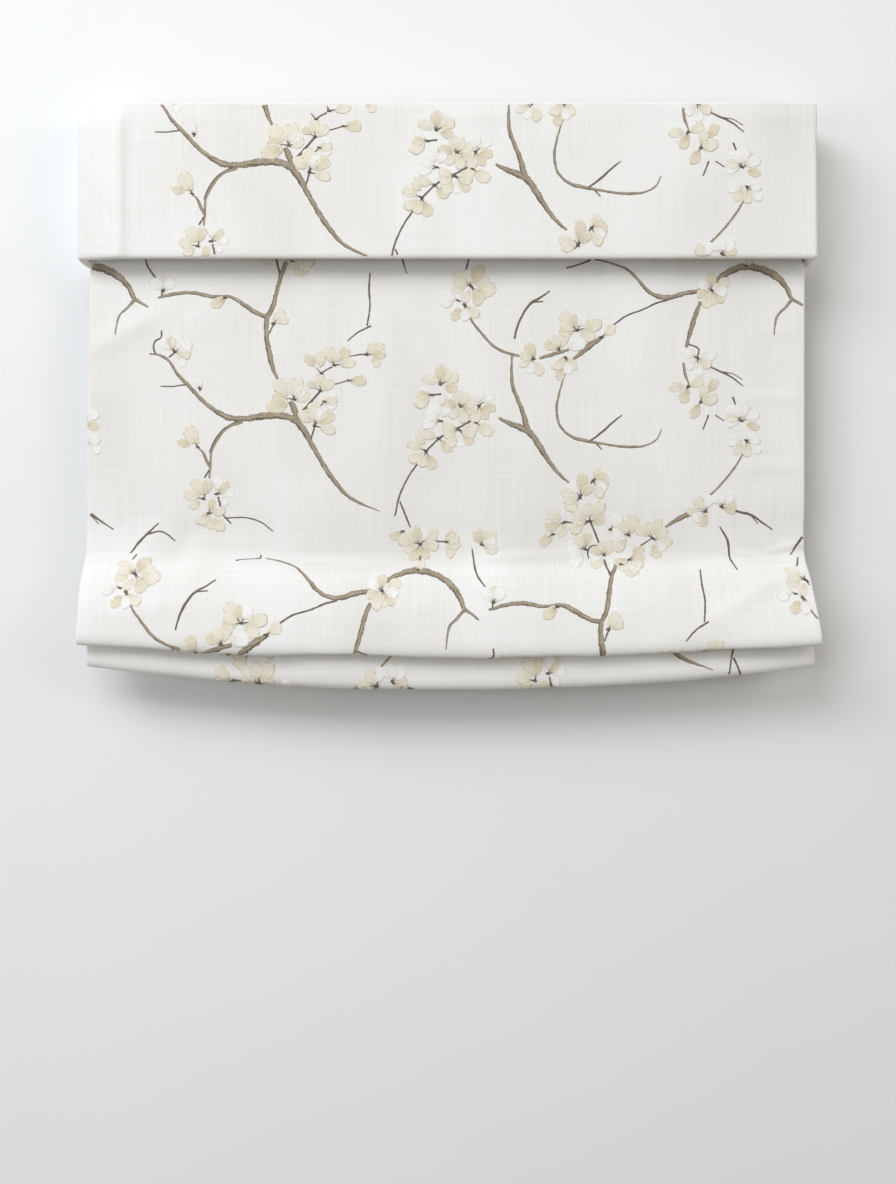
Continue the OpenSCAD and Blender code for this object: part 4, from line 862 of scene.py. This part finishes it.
def linen(name, light, dark, thread, uv=True):
    """Plain woven cloth with slubs along both threads. Thread is the distance between threads in metres."""
    n = Nodes(name)
    at = n.coordinates(uv)
    down = n.noise(at, (420, 11, 60), 4.0)
    over = n.noise(at, (11, 420, 420), 4.0)
    broad = n.noise(at, (7, 4, 5), 2.0)
    warp = n.wave(at, 1 / thread / math.tau, "X")
    weft = n.wave(at, 1 / thread / math.tau, "Y" if uv else "Z")
    slubs = n.math("ADD", n.math("MULTIPLY", down, 0.58), n.math("MULTIPLY", over, 0.42))
    tone = n.math("ADD", n.math("MULTIPLY", slubs, 0.45), n.math("MULTIPLY", broad, 0.55))
    colour = n.ramp(tone, [(0.36, dark), (0.58, light)])
    weave = n.math("MULTIPLY", n.math("ADD", warp, weft), 0.5)
    n.bump(n.math("ADD", n.math("MULTIPLY", slubs, 1.0), n.math("MULTIPLY", weave, 0.35)), 0.25, 0.0005)
    return n.finish(colour, Roughness=0.92, Sheen_Weight=0.12, Sheen_Roughness=0.5, Specular_IOR_Level=0.25)


def thread_material(name, stops, along):
    """Embroidery: colour across the band or petal, with fine thread lines. Across a band it darkens towards both
    edges and most towards one side, painted shade of the raised stitching; on a petal it runs from base to tip.
    """
    n = Nodes(name)
    at = n.coordinates(True)
    split = n.add("ShaderNodeSeparateXYZ")
    n.link(at, split.inputs[0])
    if along:
        # Painted shade: the band darker towards both edges and most towards one side
        edges = n.math("MULTIPLY", n.math("ABSOLUTE", split.outputs["Y"], 0), 0.45)
        place = n.math("ADD", edges, n.math("MULTIPLY", n.math("ADD", split.outputs["Y"], 1.0), 0.24))
        streak = n.noise(at, (90, 3.5, 1), 4.0)
        lines = n.noise(at, (900, 1.2, 1), 1.0)
        fine_share, streak_share = 0.8, 2.0
    else:
        place = n.math("MULTIPLY", n.math("ADD", split.outputs["X"], 1.0), 0.5)
        streak = n.noise(at, (1.5, 7, 1), 4.0)
        lines = n.noise(at, (8, 24, 1), 4.0)
        fine_share, streak_share = 1.3, 1.5
    fine = n.math("MULTIPLY", n.math("SUBTRACT", lines, 0.5), fine_share)
    broad = n.math("MULTIPLY", n.math("SUBTRACT", streak, 0.5), streak_share)
    fac = n.math("ADD", n.math("ADD", place, fine), broad)
    n.bump(lines, 0.6, 0.0005)
    return n.finish(n.ramp(fac, stops), Roughness=0.62, Sheen_Weight=0.2, Specular_IOR_Level=0.4)


def rim_material(name, dark, light):
    """Mottled colour for a petal's edge rings: on the outermost ring painted shade where the raised petal meets the
    cloth, darker in places; on the cord ring its light thread.
    """
    n = Nodes(name)
    breaks = n.noise(n.coordinates(True), (2.2, 2.2, 1), 2.0)
    return n.finish(n.ramp(breaks, [(0.40, dark), (0.64, light)]), Roughness=0.62, Specular_IOR_Level=0.3)


def plastic(name, colour, shade):
    n = Nodes(name)
    at = n.coordinates(False)
    grain = n.noise(at, (2400, 2400, 2400), 2.0)
    n.bump(grain, 0.12, 0.0003)
    return n.finish(n.ramp(n.noise(at, (30, 30, 30)), [(0.3, shade), (0.7, colour)]), Roughness=0.48)


def metal(name, colour, shade, along, roughness, metallic=1.0):
    n = Nodes(name)
    at = n.coordinates(False)
    brushed = n.noise(at, along, 3.0)
    n.bump(brushed, 0.10, 0.0002)
    return n.finish(n.ramp(brushed, [(0.3, shade), (0.7, colour)]), Roughness=roughness, Metallic=metallic)


def fibre(name, colour, shade, scale, depth):
    n = Nodes(name)
    at = n.coordinates(False)
    fuzz = n.noise(at, (scale, scale, scale), 4.0)
    n.bump(fuzz, 0.8, depth)
    return n.finish(n.ramp(fuzz, [(0.35, shade), (0.65, colour)]), Roughness=0.95, Sheen_Weight=0.15)


LINEN = linen("linen", rgb(0.954, 0.952, 0.946), rgb(0.913, 0.902, 0.886), 0.0011)
LINING = linen("lining_cotton", rgb(0.93, 0.915, 0.88), rgb(0.89, 0.87, 0.83), 0.0008)
RIBBON_LOOK = (rgb(0.90, 0.885, 0.85), rgb(0.84, 0.82, 0.78), 0.0009)
RIBBON = linen("ribbon_weave", *RIBBON_LOOK)
RIBBON_ROLL = linen("ribbon_roll_weave", *RIBBON_LOOK, uv=False)
BRANCH = thread_material(
    "branch_thread",
    [
        (0.0, rgb(0.73, 0.68, 0.605)), (0.42, rgb(0.605, 0.55, 0.47)),
        (0.72, rgb(0.455, 0.405, 0.33)), (1.0, rgb(0.315, 0.27, 0.21)),
    ],
    True,
)
TWIG = thread_material(
    "twig_thread",
    [(0.0, rgb(0.51, 0.46, 0.395)), (0.6, rgb(0.42, 0.37, 0.31)), (1.0, rgb(0.33, 0.285, 0.235))],
    True,
)
PETAL_CREAM = thread_material(
    "cream_thread",
    [
        (0.0, rgb(0.85, 0.81, 0.72)), (0.35, rgb(0.915, 0.887, 0.813)),
        (0.8, rgb(0.942, 0.923, 0.866)), (1.0, rgb(0.905, 0.875, 0.81)),
    ],
    False,
)
PETAL_TAN = thread_material(
    "tan_thread",
    [
        (0.0, rgb(0.79, 0.735, 0.63)), (0.35, rgb(0.874, 0.833, 0.738)),
        (0.8, rgb(0.914, 0.884, 0.803)), (1.0, rgb(0.86, 0.82, 0.735)),
    ],
    False,
)
PETAL_WHITE = thread_material(
    "white_thread",
    [
        (0.0, rgb(0.89, 0.87, 0.825)), (0.3, rgb(0.95, 0.945, 0.93)),
        (0.85, rgb(0.972, 0.97, 0.964)), (1.0, rgb(0.945, 0.938, 0.922)),
    ],
    False,
)
# Painted shade for the outermost ring of cream, tan and white petals, mottled darker in places
PETAL_EDGE_SHADE_CREAM = rim_material("cream_petal_edge_shade", rgb(0.77, 0.72, 0.625), rgb(0.905, 0.877, 0.81))
PETAL_EDGE_SHADE_WHITE = rim_material("white_petal_edge_shade", rgb(0.85, 0.83, 0.79), rgb(0.95, 0.943, 0.93))
CORD = rim_material("cord_thread", rgb(0.885, 0.855, 0.785), rgb(0.952, 0.94, 0.905))
CENTRE = thread_material("dark_thread", [(0.0, rgb(0.47, 0.41, 0.34)), (1.0, rgb(0.33, 0.28, 0.225))], True)
STITCHING = [BRANCH, PETAL_CREAM, PETAL_WHITE, CENTRE, TWIG, PETAL_TAN, PETAL_EDGE_SHADE_CREAM, PETAL_EDGE_SHADE_WHITE, CORD]
PLASTIC = plastic("moulded_plastic", rgb(0.92, 0.92, 0.905), rgb(0.885, 0.885, 0.87))
STEEL = metal("zinc_steel", rgb(0.76, 0.77, 0.79), rgb(0.68, 0.69, 0.71), (90, 90, 90), 0.38)
ALUMINIUM = metal("drawn_aluminium", rgb(0.86, 0.87, 0.88), rgb(0.78, 0.79, 0.80), (3, 900, 900), 0.34)
TAPE = fibre("hook_and_loop", rgb(0.89, 0.88, 0.85), rgb(0.78, 0.77, 0.73), 1500, 0.001)
BOARD = fibre("fibre_board", rgb(0.70, 0.585, 0.44), rgb(0.60, 0.48, 0.345), 700, 0.0004)

FINISH = {
    "steel": STEEL, "aluminium": ALUMINIUM, "plastic": PLASTIC, "tape": TAPE, "board": BOARD,
    "cloth": LINEN, "lining": LINING, "ribbon": RIBBON_ROLL,
    "branch_thread": BRANCH, "petal_thread": PETAL_CREAM,
}


# Pieces and the bodies that carry them

def on_frame(piece, slot, *replaced):
    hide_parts(*replaced)
    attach(piece, "frame")


def on_lift(piece, slot, *replaced):
    """Cloth and ribbon that gather on the real blind as its foot goes up: hides the parts they replace and sets each
    piece's place into its mesh, with no body carrying it.
    """
    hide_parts(*replaced)
    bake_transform(piece)


face, face_girth = cloth_sheet("face_linen", face_section(102), FACE_T, path_rows(S_END, 4.6, 0.8), [LINEN])
on_lift(face, "cloth", "face_cloth")

lining_half = HALF - FACE_T - SEAT_GAP
lining_line = np.array([(x, -SEAM_GAP - LINING_T / 2) for x in np.linspace(-lining_half, lining_half, 64)])
lining, _ = cloth_sheet("lining_cloth", lining_line, LINING_T, path_rows(S_SKIRT, 6.0, 0.9), [LINING])
on_lift(lining, "lining", "lining")

panel_stitches = Stitches(PanelPlace())
valance_stitches = Stitches(ValancePlace())
PATTERN_REACH = (760, 960)
for a in range(-3, 4):
    for b in range(-3, 4):
        dx, dy = (a + b) * HALF_DROP[0], (a - b) * HALF_DROP[1]
        if abs(dx) > PATTERN_REACH[0] or abs(dy) > PATTERN_REACH[1]:
            continue
        panel_stitches.blossoms(dx, dy)
        valance_stitches.blossoms(dx, dy)
panel_embroidery = panel_stitches.build("panel_embroidery", STITCHING)
on_lift(panel_embroidery, "branch_thread", "panel_branches", "panel_blossoms")
valance_embroidery = valance_stitches.build("valance_embroidery", STITCHING)
on_frame(valance_embroidery, "branch_thread", "valance_branches", "valance_blossoms")

cover, cover_w, cover_l = valance_cover_object([LINEN])
on_frame(cover, "cloth", "valance_cover")


def pocket_object(name, node):
    """Sewn sleeve round a batten, a little puckered between its stitches."""
    low, high = (np.array(v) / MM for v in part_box(node))
    centre = (low + high) / 2
    deep, tall = (high - low)[1:] / 2
    x = np.linspace(low[0], high[0], 84)
    a = np.linspace(0, math.tau, 25)
    grids = []
    for inset in (0, 0.6):
        corner = deep - inset
        ring_y = np.sign(np.cos(a)) * np.abs(np.cos(a)) ** 0.8 * corner
        ring_z = np.sin(a) * corner + np.sign(np.sin(a)) * (tall - deep)
        pucker = 0.22 * np.sin(x / 7.3)[:, None] * np.abs(np.sin(a))[None, :] - 0.22
        y = centre[1] + ring_y[None, :] * (1 + pucker / deep)
        z = centre[2] + ring_z[None, :] * (1 + pucker / tall)
        grids.append(np.stack(np.broadcast_arrays(x[:, None], y, z), -1))
    girth = np.linspace(0, 2 * math.pi * deep + 4 * (tall - deep), len(a))
    uv = np.stack(np.broadcast_arrays(x[:, None], girth[None, :]), -1) * MM
    return sheet_object(name, grids[0], grids[1], uv, [LINING]), girth[-1]


for row in ("upper", "middle", "lower", "bottom"):
    body = "upper_batten" if row == "upper" else "gathered_foot"
    pocket, pocket_girth = pocket_object(f"batten_sleeve_{row}", f"batten_pocket_{row}")
    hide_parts(f"batten_pocket_{row}")
    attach(pocket, body)


def ribbon_object(name, x, low, high):
    """Flat woven ribbon, hanging straight."""
    z = np.linspace(high[2], low[2], 150)
    across = np.linspace(-6, 6, 5)
    grids = [
        np.stack(np.broadcast_arrays(x + across[None, :], y, z[:, None]), -1) for y in (low[1], high[1])
    ]
    uv = np.stack(np.broadcast_arrays(across[None, :], -z[:, None]), -1) * MM
    return sheet_object(name, grids[0], grids[1], uv, [RIBBON])


ribbon_low, ribbon_high = (np.array(v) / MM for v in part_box("lift_ribbons"))
for side, x in (("left", ribbon_low[0] + 6), ("centre", 0.0), ("right", ribbon_high[0] - 6)):
    ribbon = ribbon_object(f"lift_ribbon_{side}", x, ribbon_low, ribbon_high)
    on_lift(ribbon, "ribbon", "lift_ribbons")

for part in frame["record"]["subparts"]:
    mesh = nodes[part["node"]].data
    mesh.materials.clear()
    mesh.materials.append(FINISH[part["material_slot"]])


# Stage, light and camera

def wall_material():
    """Pale painted wall, seen from the room only."""
    n = Nodes("wall_paint")
    at = n.coordinates(False)
    colour = n.ramp(n.noise(at, (2, 2, 2)), [(0.3, rgb(0.945, 0.95, 0.955)), (0.7, rgb(0.955, 0.958, 0.96))])
    n.finish(colour, Roughness=0.9, Specular_IOR_Level=0.2)
    clear = n.add("ShaderNodeBsdfTransparent")
    mix = n.add("ShaderNodeMixShader")
    out = n.tree.nodes["Material Output"]
    n.link(n.add("ShaderNodeNewGeometry").outputs["Backfacing"], mix.inputs["Fac"])
    n.link(n.shader.outputs["BSDF"], mix.inputs[1])
    n.link(clear.outputs["BSDF"], mix.inputs[2])
    n.link(mix.outputs["Shader"], out.inputs["Surface"])
    return n.material


wall_mesh = bpy.data.meshes.new("wall")
wall_mesh.from_pydata([(-4, 0.001, -4), (4, 0.001, -4), (4, 0.001, 4), (-4, 0.001, 4)], [], [(0, 1, 2, 3)])
wall_mesh.materials.append(wall_material())
wall = bpy.data.objects.new("wall", wall_mesh)
bpy.context.scene.collection.objects.link(wall)

scene = bpy.context.scene
scene.view_settings.view_transform = "Standard"


def room_world():
    """Soft room light: pale above, dimmer and warmer from the floor."""
    world = bpy.data.worlds.new("room_light")
    world.use_nodes = True
    tree = world.node_tree
    background = tree.nodes["Background"]
    split = tree.nodes.new("ShaderNodeSeparateXYZ")
    ramp = tree.nodes.new("ShaderNodeValToRGB")
    half = tree.nodes.new("ShaderNodeMath")
    half.operation = "MULTIPLY_ADD"
    half.inputs[1].default_value = 0.5
    half.inputs[2].default_value = 0.5
    ramp.color_ramp.elements[0].position = 0.2
    ramp.color_ramp.elements[0].color = (0.36, 0.30, 0.21, 1)
    ramp.color_ramp.elements[1].position = 0.62
    ramp.color_ramp.elements[1].color = (1.0, 0.985, 0.96, 1)
    tree.links.new(tree.nodes.new("ShaderNodeTexCoord").outputs["Generated"], split.inputs[0])
    tree.links.new(split.outputs["Z"], half.inputs[0])
    tree.links.new(half.outputs[0], ramp.inputs["Fac"])
    tree.links.new(ramp.outputs["Color"], background.inputs["Color"])
    background.inputs["Strength"].default_value = 0.46
    return world


def area_lamp(name, place, target, size, watts, colour):
    data = bpy.data.lights.new(name, "AREA")
    data.shape = "RECTANGLE"
    data.size, data.size_y = size
    data.energy = watts
    data.color = colour
    lamp = bpy.data.objects.new(name, data)
    bpy.context.scene.collection.objects.link(lamp)
    lamp.location = place
    direction = np.subtract(target, place)
    lamp.rotation_euler = (
        math.atan2(math.hypot(direction[0], direction[1]), -direction[2]), 0,
        math.atan2(direction[1], direction[0]) - math.pi / 2,
    )


scene.world = room_world()
area_lamp(
    "high_window", place=(-1.25, -2.15, 1.35), target=(0, 0, -0.25),
    size=(2.4, 1.3), watts=51, colour=(0.965, 0.995, 1.03),
)
area_lamp(
    "low_window", place=(-1.7, -2.6, -0.5), target=(0.1, 0, -0.5),
    size=(2.0, 1.0), watts=15, colour=(0.92, 1.0, 1.09),
)
area_lamp(
    "warm_side", place=(1.7, -2.0, 0.4), target=(0, 0, -0.3),
    size=(1.0, 1.0), watts=9, colour=(1.0, 0.96, 0.89),
)

camera_data = bpy.data.cameras.new("camera")
camera_data.lens = 51.4
camera = bpy.data.objects.new("camera", camera_data)
bpy.context.scene.collection.objects.link(camera)
camera.location = (0, -1.810, -0.428)
camera.rotation_euler = (math.pi / 2, 0, 0)
scene.camera = camera
